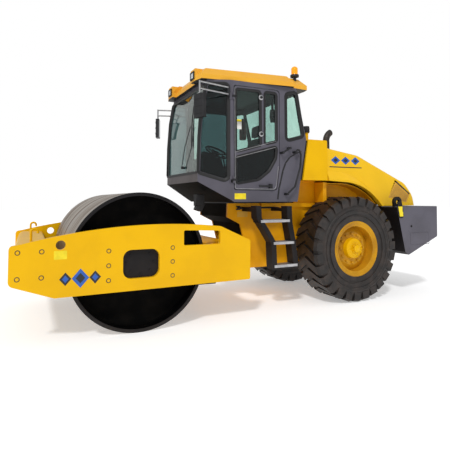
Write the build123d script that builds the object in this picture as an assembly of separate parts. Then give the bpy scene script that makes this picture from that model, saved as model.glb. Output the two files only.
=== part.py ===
from build123d import *
import math
import os

# Single-drum soil roller with a cab, in millimetres.  +Z is up, the drum is at -X and the
# machine's left side, with the door and the ladder, is at -Y.  The origin is on the ground in
# the middle of the overall length and width.

os.makedirs("parts", exist_ok=True)

# ---------------------------------------------------------------- driving sizes
FRONT_OVERHANG = 1290      # drum axle to the front of the side plates
WHEELBASE = 3110
REAR_OVERHANG = 1660       # rear axle to the back of the ballast
PIVOT_BACK = 1550          # drum axle to the steering pivot
HITCH_Z = 720              # height of the roll axis between the frames
RUN_GAP = 0.3              # running clearance of a shaft in its bore
SIDE_GAP = 5               # clearance beside a turning piece

DRUM_R = 765
DRUM_HALF = 1065
DRUM_WALL = 32
DRUM_RECESS = 170          # end webs lie this deep in the drum
DRUM_WEB = 30
DRUM_HUB_R = 150
DRUM_HUB_OUT = 40          # hub stands out of its web
SHAFT_R = 60

PLATE_OUT = 1150           # outer face of the side plates
PLATE_T = 50
PLATE_TAIL = 1340          # drum axle to the back of the side plates
PLATE_CROWN = 1167         # highest point of the side plates
WINDOW_HALF = 200
WINDOW_LOW = 602
WINDOW_HIGH = 910
WINDOW_CORNER = 90
SLOT_LENGTH = 453
SLOT_LOW = 927
SLOT_HEIGHT = 173
SLOT_TAIL = 404            # back of the slot to the back of the plate
TIE_HOLE_R = 47
TIE_HOLE_Z = 994
TIE_HOLE_BACK = 467        # front of the plate to the tie hole
CARRIER_HALF = 400
CARRIER_LOW = 165          # carrier plate below and above the drum axle
CARRIER_HIGH = 145
CARRIER_T = 28
HOUSING_R = 190
BEAM_GAP = 95              # drum to the rear cross beam
BEAM_LENGTH = 330
BEAM_LOW = 500
BEAM_HIGH = 930
NOSE_BEAM_INSET = 40
NOSE_BEAM_LENGTH = 310
NOSE_BEAM_LOW = 640
NOSE_BEAM_HIGH = 1000
HOOK_R = 13
HOOK_CURL = 34
HOOK_RISE = 105
HOOK_Y = 700
SCRAPER_GAP = 6
SCRAPER_T = 14
SCRAPER_Y = 800            # scraper arms out from the middle
SCRAPER_DROP = 24          # degrees below the drum axle, rear blade
SCRAPER_NOSE_DROP = 9      # and front blade

SLEEVE_R = 115
PIN_R = 50
PIN_HEAD_R = 72
PIN_HEAD_T = 12
EAR_T = 40
EAR_LOW = 520
EAR_HIGH = 880
TRUNNION_R = 90
HITCH_FLANGE_R = 160
HITCH_FLANGE_T = 40
HITCH_NECK_HALF = 80
HITCH_NECK_RISE = 110
HITCH_WING_T = 35
CYL_Y = 330
CYL_DROP = 19              # cylinders below the roll axis
CYL_R = 48
CYL_LENGTH = 570
ROD_R = 25
ROD_EYE_AHEAD = 230        # steering pivot to the rod eyes, forwards
BARREL_EYE_BACK = 700      # steering pivot to the barrel eyes, rearwards
EYE_R = 45
EYE_HALF = 35
EYE_PIN_R = 20
EYE_POST_R = 36

TYRE_R = 745
TYRE_W = 520
TYRE_Y = 810
RIM_R = 340
FLANGE_R = 379
FLANGE_LIP = 12
RIM_WALL = 22
LUG_H = 32
LUG_COUNT = 27
LUG_FILL = 0.66            # share of the lug pitch that is rubber
LUG_SWEEP = 9              # degrees that a chevron's tip leads its ends
HUB_CAP_R = 150
HUB_CAP_OUT = 205
HUB_R = 140
SPINDLE_R = 55

FRAME_HALF = 500           # outer face of the rear frame's sides
FRAME_T = 30
FRAME_TOP = 1395
FRAME_REAR_TOP = 1300
FRAME_BOTTOM = 500
FRAME_NOSE = 210           # steering pivot to the front of the rear frame
FRAME_FLANGE = 40
FRAME_FLANGE_T = 60
AXLE_TUBE_R = 115
AXLE_BULGE_R = 190
AXLE_FLANGE_R = 150
AXLE_PAD = 120             # axle centre to the underside of the frame
AXLE_PAD_HALF = 90
MEMBER_H = 80
MEMBER_W = 120

CAB_AHEAD = 710            # steering pivot to the windshield's foot
CAB_HALF = 800
CAB_NOSE_HALF = 655
CAB_NOSE = 410             # windshield's foot to the front door pillar
CAB_FLOOR = 1415           # underside of the cab
CAB_NOSE_Z = 1680
CAB_BELT = 2305            # height of the widest place of the rear wall
CAB_LENGTH = 1600
CAB_TOP = 3020
CAB_REAR_LEAN = 160        # rear wall leans in above and below the belt
CAB_TOP_BACK = 120         # windshield leans back by this much at the top
CAB_WALL = 45
FLOOR_T = 50
SEAL = 24                  # glass edge to the cab's corner
GLASS_T = 8
GLASS_SET = 18             # glass behind the cab's outer face

DOOR_AT = 462              # windshield's foot to the door's front edge
DOOR_W = 690
DOOR_SILL = 1580
DOOR_TOP = 2950
DOOR_GAP = 10
DOOR_TUCK = 55             # lower rear corner ahead of the door's rear edge
DOOR_FRAME = 30
DOOR_BELT_FRONT = 2075     # lower edge of the upper glass at the front of the door
DOOR_BELT_RISE = 190
DOOR_BELT_H = 85
DOOR_POST_AT = 388         # door's front edge to the bar between its upper panes
DOOR_POST = 78
QUARTER_AT = 1280          # windshield's foot to the side pane behind the door
WIND_SILL = 1810
HINGE_OUT = 16             # door hinge axis outside the cab's face
HINGE_AHEAD = 20           # and ahead of the door's edge
KNUCKLE_R = 13
KNUCKLE_H = 30
HINGE_PIN_R = 6
DOOR_HINGE_Z = (1660, 2760)
HANDLE_OUT = 42
GRAB_R = 13
GRAB_BEND = 28

ROOF_LOW = 165             # height of the roof's upright edge and bevel together
ROOF_EDGE = 62
ROOF_BEVEL = 95
ROOF_HALF_FRONT = 720
ROOF_HALF_REAR = 865
ROOF_TAIL = 260            # roof behind the cab's top
POD_Y = 489
POD_HALF = 88
POD_AHEAD = 65             # lamp pods ahead of the roof's middle edge
LAMP_H = 84
LAMP_W = 110
LAMP_T = 12
LAMP_RISE = 80             # middle of the lamps above the cab
BEACON_AT = 1470           # windshield's foot to the beacon
BEACON_Y = -720
BEACON_H = 125
BEACON_R = 50

TANK_GAP = 40              # cab to the tank housing
TANK_LENGTH = 370
TANK_FOOT = 1720
TANK_HALF = 800
TANK_RISE = 90             # tank housing above the hood's front
NECK_R = 30
NECK_Y = -500
CAP_R = 46

HOOD_GAP = 30
HOOD_HALF = 735
HOOD_TOP = 2215
HOOD_WALL = 14
HOOD_ROUND = 45
HOOD_BREAK = 349           # rear axle to the hood line's first bend, and its height
HOOD_BREAK_Z = 2122
HOOD_BACK = 1337
HOOD_BACK_Z = 1707
HOOD_HEEL = 1505
HOOD_HEEL_Z = 1515
HOOD_END = 1543            # rear axle to the hood's rear foot
HOOD_BEND = 280            # radius of the bends
HOOD_SIT = 8               # hood above the ballast
ARCH_R = 960
FLARE_OUT = 65             # flares stand out of the hood's sides
FLARE_LIP = 30
FLARE_RISE = 160           # flare's top edge above the arch at its front end
FLARE_MID = (540, 1625)    # rear axle to the middle of its top edge, and the height
FENDER_T = 12
VENT_BARS = 7
VENT_TOP = ((1105, 1765), (1430, 1545))      # ends of the vents' upper line behind the axle
VENT_LOW = ((960, 1480), (1325, 1395))       # and of their lower line
EXHAUST_R = 54
EXHAUST_AT = 325           # rear axle to the exhaust
EXHAUST_RISE = 205         # its straight part above the hood's front
EXHAUST_PAD = 70
ENGINE_GAP = 100
ENGINE_HALF = 330
ENGINE_TOP = 1700
HOOD_HINGE_AHEAD = 14      # hood's front edge to its hinge axis
HOOD_HINGE_RISE = 6
HOOD_HINGE_Y = (-500, 500)
HOOD_KNUCKLE_R = 12

BALLAST_HALF = 1050
BALLAST_TOP = 1335
BALLAST_BOTTOM = 600
BALLAST_KNEE = 650
BALLAST_AT = 795           # rear axle to the ballast's top front edge
BALLAST_SLANT = 150
LUG_T = 40
LUG_Y = 960
LUG_R = 82
LUG_HOLE_R = 36
LUG_RISE = 68
LUG_BACK = 75

LADDER_GAP = 167           # tyre to the ladder's rear foot
LADDER_DEPTH = 150
LADDER_IN = 20             # ladder's back inside the cab's width
RAIL_W = 75
# Front edges of the ladder's two rails, ahead of its rear foot, and its steps.
LADDER_FRONT = ((-651, 1363), (-643, 1205), (-515, 1021), (-428, 882), (-414, 533))
LADDER_REAR = ((-178, 1357), (-171, 1144), (-118, 875), (-75, 520))
LADDER_STEPS = ((-615, -100, 1174, 30), (-420, -50, 882, 30), (-405, -5, 580, 58))
LADDER_ARMS = (-640, -170)
SEAT_AT = 470              # door's front edge to the middle of the seat
STEER_WHEEL_UP = 685       # cab floor to the steering wheel's middle
MIRROR_W = 175
MIRROR_H = 300
MIRROR_T = 55
MIRROR_TURN = 22.5
MIRROR_OUT = 130
MIRROR_Z = 2605
MIRROR_BARS = (2820, 2910)
BAR_R = 11
# Bars beside the cab, behind the door: distances behind the windshield's foot, and heights.
GRAB_LINES = (((1378, 2104), (1429, 2158), (1466, 2066), (1451, 1897), (1359, 1625), (1235, 1521)),
              ((1170, 2086), (1286, 2154)))

# ---------------------------------------------------------------- stations
X_FRONT = -(FRONT_OVERHANG + WHEELBASE + REAR_OVERHANG) / 2
X_DRUM = X_FRONT + FRONT_OVERHANG
X_AXLE = X_DRUM + WHEELBASE
X_REAR = X_AXLE + REAR_OVERHANG
X_PIVOT = X_DRUM + PIVOT_BACK
X_CAB = X_PIVOT - CAB_AHEAD
X_CAB_REAR = X_CAB + CAB_LENGTH
X_DOOR = X_CAB + DOOR_AT
X_TANK_REAR = X_CAB_REAR + TANK_LENGTH
X_HOOD = X_TANK_REAR + HOOD_GAP
X_TAIL = X_DRUM + PLATE_TAIL
X_REAR_BEAM = X_DRUM + DRUM_R + BEAM_GAP
X_BALLAST = X_AXLE + BALLAST_AT
AXLE_Z = TYRE_R
PLATE_IN = PLATE_OUT - PLATE_T
FRAME_IN = FRAME_HALF - FRAME_T
WEB_FACE = DRUM_HALF - DRUM_RECESS
CYL_Z = HITCH_Z - CYL_DROP
HOOD_FOOT = BALLAST_TOP + HOOD_SIT

SIDES = (("left", -1), ("right", 1))
DRUM_CENTRE = (X_DRUM, 0, DRUM_R)


# ---------------------------------------------------------------- shape helpers
def outline(*corners):
    """Closed flat face.  Each corner is (u, v) or (u, v, corner radius)."""
    face = make_face(Polyline(*[(c[0], c[1]) for c in corners], close=True))
    for corner in corners:
        if len(corner) == 3:
            vertex = face.vertices().sort_by_distance((corner[0], corner[1]))[0]
            face = fillet(vertex, corner[2])
    return face


def across(face, y0, y1):
    """Solid from a face drawn in X and Z, between the planes y0 and y1."""
    return extrude(Plane.XZ.offset(-y1) * face, amount=y1 - y0)


def along(face, x0, x1):
    """Solid from a face drawn in Y and Z, between the planes x0 and x1."""
    return extrude(Plane.YZ.offset(x0) * face, amount=x1 - x0)


def upright(face, z0, z1):
    """Solid from a face drawn in X and Y, between the heights z0 and z1."""
    return extrude(Plane.XY.offset(z0) * face, amount=z1 - z0)


def block(x0, x1, y0, y1, z0, z1):
    size = Box(abs(x1 - x0), abs(y1 - y0), abs(z1 - z0))
    return Pos((x0 + x1) / 2, (y0 + y1) / 2, (z0 + z1) / 2) * size


def rod(start, end, radius):
    """Round bar from one point to another."""
    line = Vector(*end) - Vector(*start)
    plane = Plane(origin=start, z_dir=line)
    return extrude(plane * Circle(radius), amount=line.length)


def turned(face, centre):
    """Body of revolution about a Y axis: u is the radius, v runs along Y."""
    return revolve(Plane(origin=centre) * face, axis=Axis(centre, (0, 1, 0)))


def flip(solid, side):
    """The piece as made on the right (+Y), or its mirror image on the left."""
    return solid if side > 0 else mirror(solid, about=Plane.XZ)


def both_sides(solid):
    return solid + mirror(solid, about=Plane.XZ)


def save(name, *solids):
    if len(solids) == 1:
        shape = solids[0]
    else:
        shape = Compound(children=[s for s in solids])
    export_step(shape, f"parts/{name}.step")


# ---------------------------------------------------------------- drum
def build_drum():
    inner_r = DRUM_R - DRUM_WALL
    shell = turned(outline((inner_r, -DRUM_HALF), (DRUM_R, -DRUM_HALF), (DRUM_R, DRUM_HALF),
                           (inner_r, DRUM_HALF)), DRUM_CENTRE)
    save("drum_shell", shell)
    bore = SHAFT_R + RUN_GAP
    rim = inner_r - RUN_GAP
    web = turned(outline((bore, WEB_FACE - DRUM_WEB), (rim, WEB_FACE - DRUM_WEB), (rim, WEB_FACE),
                         (DRUM_HUB_R, WEB_FACE), (DRUM_HUB_R, WEB_FACE + DRUM_HUB_OUT),
                         (bore, WEB_FACE + DRUM_HUB_OUT)), DRUM_CENTRE)
    save("drum_webs", *[flip(web, side) for _, side in SIDES])


def build_drum_carriers():
    hub_face = WEB_FACE + DRUM_HUB_OUT + SIDE_GAP
    shaft_end = WEB_FACE - DRUM_WEB - 20
    low = DRUM_R - CARRIER_LOW
    high = DRUM_R + CARRIER_HIGH
    plate = across(outline((X_DRUM - CARRIER_HALF, low), (X_DRUM + CARRIER_HALF, low),
                           (X_DRUM + CARRIER_HALF, high), (X_DRUM - CARRIER_HALF, high)),
                   PLATE_IN - CARRIER_T, PLATE_IN)
    housing = turned(outline((0, shaft_end), (SHAFT_R, shaft_end), (SHAFT_R, hub_face), (HOUSING_R, hub_face),
                             (HOUSING_R, PLATE_IN - CARRIER_T), (0, PLATE_IN - CARRIER_T)), DRUM_CENTRE)
    carrier = plate + housing
    save("drum_carriers", *[flip(carrier, side) for _, side in SIDES])


# ---------------------------------------------------------------- front frame
def build_side_plates():
    low_nose = (X_FRONT + 414, 471)
    crown = ((X_FRONT + 99, 1016), (X_DRUM - 123, PLATE_CROWN), (X_TAIL - 395, 1133))
    edge = (Polyline(crown[2], (X_TAIL, 953), (X_TAIL - 8, 483), low_nose, (X_FRONT, 622), (X_FRONT, 1000),
                     crown[0]) + ThreePointArc(*crown))
    face = make_face(edge)
    for corner, radius in (((X_TAIL, 953), 25), ((X_TAIL - 8, 483), 20), (low_nose, 60),
                           ((X_FRONT, 622), 60), ((X_FRONT, 1000), 40)):
        face = fillet(face.vertices().sort_by_distance(corner)[0], radius)
    plate = across(face, PLATE_IN, PLATE_OUT)
    r = WINDOW_CORNER
    window = across(outline((X_DRUM - WINDOW_HALF, WINDOW_LOW, r), (X_DRUM + WINDOW_HALF, WINDOW_LOW, r),
                            (X_DRUM + WINDOW_HALF, WINDOW_HIGH, r), (X_DRUM - WINDOW_HALF, WINDOW_HIGH, r)),
                    PLATE_IN - 1, PLATE_OUT + 1)
    back = X_TAIL - SLOT_TAIL
    slot = across(outline((back - SLOT_LENGTH, SLOT_LOW, 20), (back, SLOT_LOW, 20),
                          (back, SLOT_LOW + SLOT_HEIGHT - 20, 20),
                          (back - SLOT_LENGTH, SLOT_LOW + SLOT_HEIGHT, 20)), PLATE_IN - 1, PLATE_OUT + 1)
    x = X_FRONT + TIE_HOLE_BACK
    hole = rod((x, PLATE_IN - 1, TIE_HOLE_Z), (x, PLATE_OUT + 1, TIE_HOLE_Z), TIE_HOLE_R)
    plate = plate - window - slot - hole
    for name, side in SIDES:
        save(f"side_plate_{name}", flip(plate, side))


def build_cross_beams():
    front = X_FRONT + NOSE_BEAM_INSET
    back = front + NOSE_BEAM_LENGTH
    nose = across(outline((front, NOSE_BEAM_LOW, 40), (back, NOSE_BEAM_LOW, 40), (back + 10, NOSE_BEAM_HIGH, 40),
                          (front, NOSE_BEAM_HIGH, 60)), -PLATE_IN, PLATE_IN)
    save("front_beam", nose)
    back = X_REAR_BEAM + BEAM_LENGTH
    beam = across(outline((X_REAR_BEAM, BEAM_LOW, 30), (back, BEAM_LOW, 30), (back, BEAM_HIGH, 30),
                          (X_REAR_BEAM, BEAM_HIGH, 30)), -PLATE_IN, PLATE_IN)
    bore = rod((X_REAR_BEAM + 60, 0, HITCH_Z), (back + 1, 0, HITCH_Z), TRUNNION_R + RUN_GAP)
    save("rear_beam", beam - bore)


def build_hooks():
    """Lashing hooks on the nose beam: an upright stem with a curl that opens to the rear."""
    hooks = []
    x = X_FRONT + NOSE_BEAM_INSET + 155
    top = NOSE_BEAM_HIGH + HOOK_RISE
    for _, side in SIDES:
        y = side * HOOK_Y
        stem = rod((x, y, NOSE_BEAM_HIGH), (x, y, top), HOOK_R)
        axis = Axis((x + HOOK_CURL, y, top), (0, 1, 0))
        curl = revolve(Plane(origin=(x, y, top)) * Circle(HOOK_R), axis=axis, revolution_arc=205)
        hooks.append(stem + curl)
    save("tie_hooks", *hooks)


def build_scrapers():
    """Steel blades just off the drum, each on three arms of its cross beam."""
    half = PLATE_IN - 45
    reach = DRUM_R + SCRAPER_GAP
    pieces = []
    for drop, way, beam_x, beam_z in ((SCRAPER_DROP, 1, X_REAR_BEAM + 60, BEAM_LOW),
                                      (SCRAPER_NOSE_DROP, -1, X_FRONT + NOSE_BEAM_INSET + NOSE_BEAM_LENGTH - 60,
                                       NOSE_BEAM_LOW)):
        angle = math.radians(drop)
        tip = (X_DRUM + way * reach * math.cos(angle), DRUM_R - reach * math.sin(angle))
        low = min(tip[1], beam_z - SCRAPER_T - 26)
        blade = across(outline(tip, (beam_x, low - 4), (beam_x, low + SCRAPER_T), (tip[0] + way * 5, tip[1] + 18)),
                       -half, half)
        arms = [block(beam_x - way * 30, beam_x, y - 30, y + 30, low + 2, beam_z)
                for y in (-SCRAPER_Y, 0, SCRAPER_Y)]
        pieces.append(blade + arms[0] + arms[1] + arms[2])
    save("scrapers", *pieces)


# ---------------------------------------------------------------- hitch and steering
def build_hitch():
    flange = X_REAR_BEAM + BEAM_LENGTH + SIDE_GAP
    rise = HITCH_NECK_RISE
    trunnion = rod((X_REAR_BEAM + 80, 0, HITCH_Z), (flange, 0, HITCH_Z), TRUNNION_R)
    disc = rod((flange, 0, HITCH_Z), (flange + HITCH_FLANGE_T, 0, HITCH_Z), HITCH_FLANGE_R)
    neck = block(flange + HITCH_FLANGE_T, X_PIVOT - 60, -HITCH_NECK_HALF, HITCH_NECK_HALF, HITCH_Z - rise,
                 HITCH_Z + rise)
    sleeve = rod((X_PIVOT, 0, EAR_LOW + EAR_T + 1), (X_PIVOT, 0, EAR_HIGH - 1), SLEEVE_R)
    bore = rod((X_PIVOT, 0, EAR_LOW), (X_PIVOT, 0, EAR_HIGH + EAR_T), PIN_R + RUN_GAP)
    x = X_PIVOT - ROD_EYE_AHEAD
    end = CYL_Y + EYE_R
    top = CYL_Z - EYE_HALF - 1
    wing = upright(outline((x - 30, -end), (x + 30, -end), (x + 60, -end + 40), (x + 60, end - 40), (x + 30, end),
                           (x - 30, end), (x - 50, end - 30), (x - 50, -end + 30)), top - HITCH_WING_T, top)
    save("hitch", trunnion + disc + neck + wing + sleeve - bore)
    pin = rod((X_PIVOT, 0, EAR_LOW - PIN_HEAD_T), (X_PIVOT, 0, EAR_HIGH + EAR_T + PIN_HEAD_T), PIN_R)
    for z in (EAR_LOW - PIN_HEAD_T, EAR_HIGH + EAR_T):
        pin = pin + rod((X_PIVOT, 0, z), (X_PIVOT, 0, z + PIN_HEAD_T), PIN_HEAD_R)
    return pin


def build_steering_cylinders():
    z = CYL_Z
    x_rod = X_PIVOT - ROD_EYE_AHEAD
    x_eye = X_PIVOT + BARREL_EYE_BACK
    x_mouth = x_eye - CYL_LENGTH - 30
    for name, side in SIDES:
        y = side * CYL_Y
        tube = rod((x_mouth, y, z), (x_eye - 45, y, z), CYL_R) + rod((x_eye - 60, y, z), (x_eye, y, z), EYE_HALF - 2)
        tube = tube - rod((x_mouth - 1, y, z), (x_eye - 90, y, z), ROD_R + RUN_GAP)
        eye = rod((x_eye, y, z - EYE_HALF), (x_eye, y, z + EYE_HALF), EYE_R)
        hole = rod((x_eye, y, z - EYE_HALF - 5), (x_eye, y, z + EYE_HALF + 5), EYE_PIN_R + RUN_GAP)
        save(f"steering_barrel_{name}", tube + eye - hole)
        bar = rod((x_rod + 30, y, z), (x_mouth + 290, y, z), ROD_R)
        save(f"steering_rod_{name}", bar + rod((x_rod, y, z - EYE_HALF), (x_rod, y, z + EYE_HALF), EYE_R))


# ---------------------------------------------------------------- rear frame
def build_rear_frame(hitch_pin):
    side_low = AXLE_Z + AXLE_PAD
    front = X_PIVOT - FRAME_NOSE
    nose = ((front, FRAME_TOP), (front - 10, 1210), (X_PIVOT - 20, 1110), (X_PIVOT + 19, 960))
    rear_top = FRAME_REAR_TOP
    plate = across(outline(*nose, (X_PIVOT + 140, FRAME_BOTTOM), (X_AXLE - 630, FRAME_BOTTOM, 60),
                           (X_AXLE - 470, side_low, 60), (X_AXLE + 520, side_low, 60), (X_AXLE + 720, 700),
                           (ballast_front(700), 700), (ballast_front(rear_top), rear_top),
                           (X_AXLE - 300, rear_top), (X_AXLE - 330, FRAME_TOP)), FRAME_IN, FRAME_HALF)
    flange = block(X_PIVOT + 300, X_AXLE - 340, FRAME_HALF - 1, FRAME_HALF + FRAME_FLANGE,
                   FRAME_TOP - FRAME_FLANGE_T, FRAME_TOP)
    for name, side in SIDES:
        save(f"frame_side_{name}", flip(plate + flange, side))
    ears = []
    back = X_PIVOT + 800
    for z in (EAR_LOW, EAR_HIGH):
        ear = upright(outline((X_PIVOT - 125, -60), (X_PIVOT - 60, -125), (X_PIVOT + 60, -165), (X_PIVOT + 200, -FRAME_IN),
                              (back, -FRAME_IN), (back, FRAME_IN), (X_PIVOT + 200, FRAME_IN), (X_PIVOT + 60, 165),
                              (X_PIVOT - 60, 125), (X_PIVOT - 125, 60)), z, z + EAR_T)
        ears.append(ear - rod((X_PIVOT, 0, z - 1), (X_PIVOT, 0, z + EAR_T + 1), PIN_R))
    wall = block(back, back + FRAME_T, -FRAME_IN, FRAME_IN, EAR_LOW, FRAME_TOP - FRAME_T)
    save("pivot_frame", ears[0] + ears[1] + wall)
    pins = []
    x = X_PIVOT + BARREL_EYE_BACK
    for _, side in SIDES:
        y = side * CYL_Y
        foot = CYL_Z - EYE_HALF - 1
        pins.append(rod((x, y, EAR_LOW + EAR_T), (x, y, foot), EYE_POST_R)
                    + rod((x, y, foot), (x, y, CYL_Z + EYE_HALF + 10), EYE_PIN_R))
    save("frame_pins", hitch_pin, *pins)
    inner = [(x + 25, z) for x, z in nose[1:]]
    shield = across(outline((nose[0][0] + 8, FRAME_TOP - FRAME_T), *[(x + 8, z) for x, z in nose[1:]],
                            *reversed(inner), (nose[0][0] + 33, FRAME_TOP - FRAME_T)), -FRAME_IN, FRAME_IN)
    deck = block(front + 8, back + FRAME_T, -FRAME_IN, FRAME_IN, FRAME_TOP - FRAME_T, FRAME_TOP)
    members = [block(x, x + MEMBER_W, -FRAME_IN, FRAME_IN, side_low + 60, side_low + 60 + MEMBER_H)
               for x in (X_TANK_REAR + ENGINE_GAP - 40, X_AXLE + 600)]
    save("frame_decks", deck + shield, *members)


def build_rear_axle():
    half = TYRE_Y - 120
    tube_r = AXLE_TUBE_R
    profile = outline((0, -half), (AXLE_FLANGE_R, -half), (tube_r, -half + 60), (tube_r, -230), (AXLE_BULGE_R, -120),
                      (AXLE_BULGE_R, 120), (tube_r, 230), (tube_r, half - 60), (AXLE_FLANGE_R, half), (0, half))
    tube = turned(profile, (X_AXLE, 0, AXLE_Z))
    pads = [block(X_AXLE - AXLE_PAD_HALF, X_AXLE + AXLE_PAD_HALF, side * (FRAME_IN - 60), side * FRAME_HALF, AXLE_Z,
                  AXLE_Z + AXLE_PAD) for _, side in SIDES]
    spindle = rod((X_AXLE, -TYRE_Y - 40, AXLE_Z), (X_AXLE, TYRE_Y + 40, AXLE_Z), SPINDLE_R)
    save("rear_axle", tube + pads[0] + pads[1] + spindle)


def tyre_solid(centre):
    """Earth-moving tyre: a plain carcass with chevron lugs that wrap over its shoulders."""
    half = TYRE_W / 2
    tread = TYRE_R - LUG_H
    bead = FLANGE_R + FLANGE_LIP + RUN_GAP
    profile = ((RIM_R + RUN_GAP, half - 56), (bead, half - 24), (tread - 140, half - 2), (tread - 30, half - 24),
               (tread, half - 74))
    carcass = turned(outline(*[(r, -y) for r, y in profile], *reversed(profile)), centre)
    x, y, z = centre
    pitch = 360 / LUG_COUNT
    w = math.pi * TYRE_R / LUG_COUNT * LUG_FILL
    tip = TYRE_R * math.radians(LUG_SWEEP) / 2
    top = math.sqrt(TYRE_R ** 2 - (tip + w) ** 2)
    arm = half - 60
    end = half + 5
    chevron = outline((x + tip - w, y), (x - tip - w, y - arm), (x - tip - w, y - end), (x - tip + w, y - end),
                      (x - tip + w, y - arm), (x + tip + w, y), (x - tip + w, y + arm), (x - tip + w, y + end),
                      (x - tip - w, y + end), (x - tip - w, y + arm))
    edge = ((half - 30, tread - 110), (half - 6, tread - 104), (half, top - 26), (half - 44, top))
    section = outline(*[(y + u, z + v) for u, v in edge], *[(y - u, z + v) for u, v in reversed(edge)],
                      (y + 110 - half, z + tread - 20), (y + half - 110, z + tread - 20))
    lug = upright(chevron, z + tread - 160, z + TYRE_R + 5) & along(section, x - tip - w - 1, x + tip + w + 1)
    lugs = [Pos(*centre) * Rot(0, k * pitch, 0) * Pos(-x, -y, -z) * lug for k in range(LUG_COUNT)]
    return carcass.fuse(*lugs)


def build_wheels():
    half = TYRE_W / 2
    inner = RIM_R - RIM_WALL
    for name, side in SIDES:
        centre = (X_AXLE, side * TYRE_Y, AXLE_Z)
        save(f"tyre_{name}", tyre_solid(centre))
        rim = turned(outline((inner, 44 - half), (RIM_R - 4, 40 - half), (FLANGE_R, 16 - half), (FLANGE_R + FLANGE_LIP, 24 - half),
                             (RIM_R, 56 - half), (RIM_R, half - 56), (FLANGE_R + FLANGE_LIP, half - 24),
                             (FLANGE_R, half - 16), (RIM_R - 4, half - 40), (inner, half - 44), (inner, 80),
                             (235, 125), (0, 125), (0, 90), (225, 90), (inner, 50)), centre)
        bore = SPINDLE_R + RUN_GAP
        hub = turned(outline((bore, SIDE_GAP - 120), (HUB_R, SIDE_GAP - 120), (190, 30), (190, 91), (0, 91), (0, 45),
                             (bore, 45)), centre)
        cap = turned(outline((0, 124), (HUB_CAP_R, 124), (HUB_CAP_R - 12, 185), (HUB_CAP_R - 45, HUB_CAP_OUT),
                             (0, HUB_CAP_OUT)), centre)
        wheel = rim + hub + cap
        if side < 0:
            wheel = Pos(*centre) * Rot(0, 0, 180) * Pos(-centre[0], -centre[1], -centre[2]) * wheel
        save(f"wheel_{name}", wheel)


# ---------------------------------------------------------------- ballast
def ballast_front(z):
    """X of the ballast's sloping front face at a height."""
    return X_BALLAST + BALLAST_SLANT * (BALLAST_TOP - z) / (BALLAST_TOP - BALLAST_KNEE)


def build_ballast():
    foot = X_BALLAST + BALLAST_SLANT
    body = across(outline((X_BALLAST, BALLAST_TOP, 15), (foot, BALLAST_KNEE, 20), (foot + 70, BALLAST_BOTTOM, 20),
                          (X_REAR - 10, BALLAST_BOTTOM + 260, 30), (X_REAR, BALLAST_TOP - 60), (X_REAR, BALLAST_TOP, 15)),
                  -BALLAST_HALF, BALLAST_HALF)
    save("ballast", body)
    x = X_BALLAST + LUG_BACK
    z = BALLAST_TOP + LUG_RISE
    ring = rod((x, LUG_Y, z), (x, LUG_Y + LUG_T, z), LUG_R)
    foot = block(x - LUG_R + 6, x + LUG_R - 6, LUG_Y, LUG_Y + LUG_T, BALLAST_TOP, z)
    below = block(x - LUG_R - 5, x + LUG_R + 5, LUG_Y - 1, LUG_Y + LUG_T + 1, BALLAST_TOP - LUG_R, BALLAST_TOP)
    lug = ring + foot - below - rod((x, LUG_Y - 1, z), (x, LUG_Y + LUG_T + 1, z), LUG_HOLE_R)
    save("tie_lugs", *[flip(lug, side) for _, side in SIDES])


# ---------------------------------------------------------------- tank, engine, hood
def hood_pin(y):
    return (X_HOOD - HOOD_HINGE_AHEAD, y, HOOD_TOP + HOOD_HINGE_RISE)


def build_tank():
    slant = X_CAB_REAR + TANK_GAP
    top = HOOD_TOP + TANK_RISE
    body = across(outline((slant - 100, TANK_FOOT), (slant, top, 20), (X_TANK_REAR, top, 20),
                          (X_TANK_REAR, TANK_FOOT)), -TANK_HALF, TANK_HALF)
    tank = body + block(slant - 60, X_TANK_REAR, 5 - FRAME_HALF, FRAME_HALF - 5, FRAME_TOP, TANK_FOOT)
    for y in HOOD_HINGE_Y:
        x, _, z = hood_pin(y)
        r = HOOD_KNUCKLE_R
        tank = tank + block(X_TANK_REAR, x, y - 45, y - 11, z - r, z + r)
        tank = tank + rod((x, y - 45, z), (x, y - 11, z), r) + rod((x, y - 45, z), (x, y + 45, z), HINGE_PIN_R)
    save("tank", tank)
    x = X_CAB_REAR + TANK_LENGTH * 0.6
    neck = rod((x, NECK_Y, top), (x, NECK_Y, top + 145), NECK_R)
    cap = rod((x, NECK_Y, top + 145), (x, NECK_Y, top + 245), CAP_R)
    save("filler_neck", neck + cap)
    save("engine", block(X_TANK_REAR + ENGINE_GAP, X_AXLE + 780, -ENGINE_HALF, ENGINE_HALF, AXLE_Z + AXLE_PAD + 140,
                         ENGINE_TOP))


def hood_line(drop, shift):
    """The hood's top line from its front edge to its foot, lowered and moved forward by a wall."""
    corners = [(X_HOOD - 1 if drop else X_HOOD, HOOD_TOP - drop), (X_AXLE + HOOD_BREAK, HOOD_BREAK_Z - drop),
               (X_AXLE + HOOD_BACK, HOOD_BACK_Z - drop), (X_AXLE + HOOD_HEEL - shift, HOOD_HEEL_Z - drop / 2),
               (X_AXLE + HOOD_END - shift, HOOD_FOOT - (1 if drop else 0))]
    return corners


def arch_points(reach, foot):
    """Rear end and middle of an arc about the axle that ends at a height."""
    low = math.asin((foot - AXLE_Z) / reach)
    mid = (low + math.pi / 2) / 2
    return ((X_AXLE + reach * math.cos(low), foot),
            (X_AXLE + reach * math.cos(mid), AXLE_Z + reach * math.sin(mid)))


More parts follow.
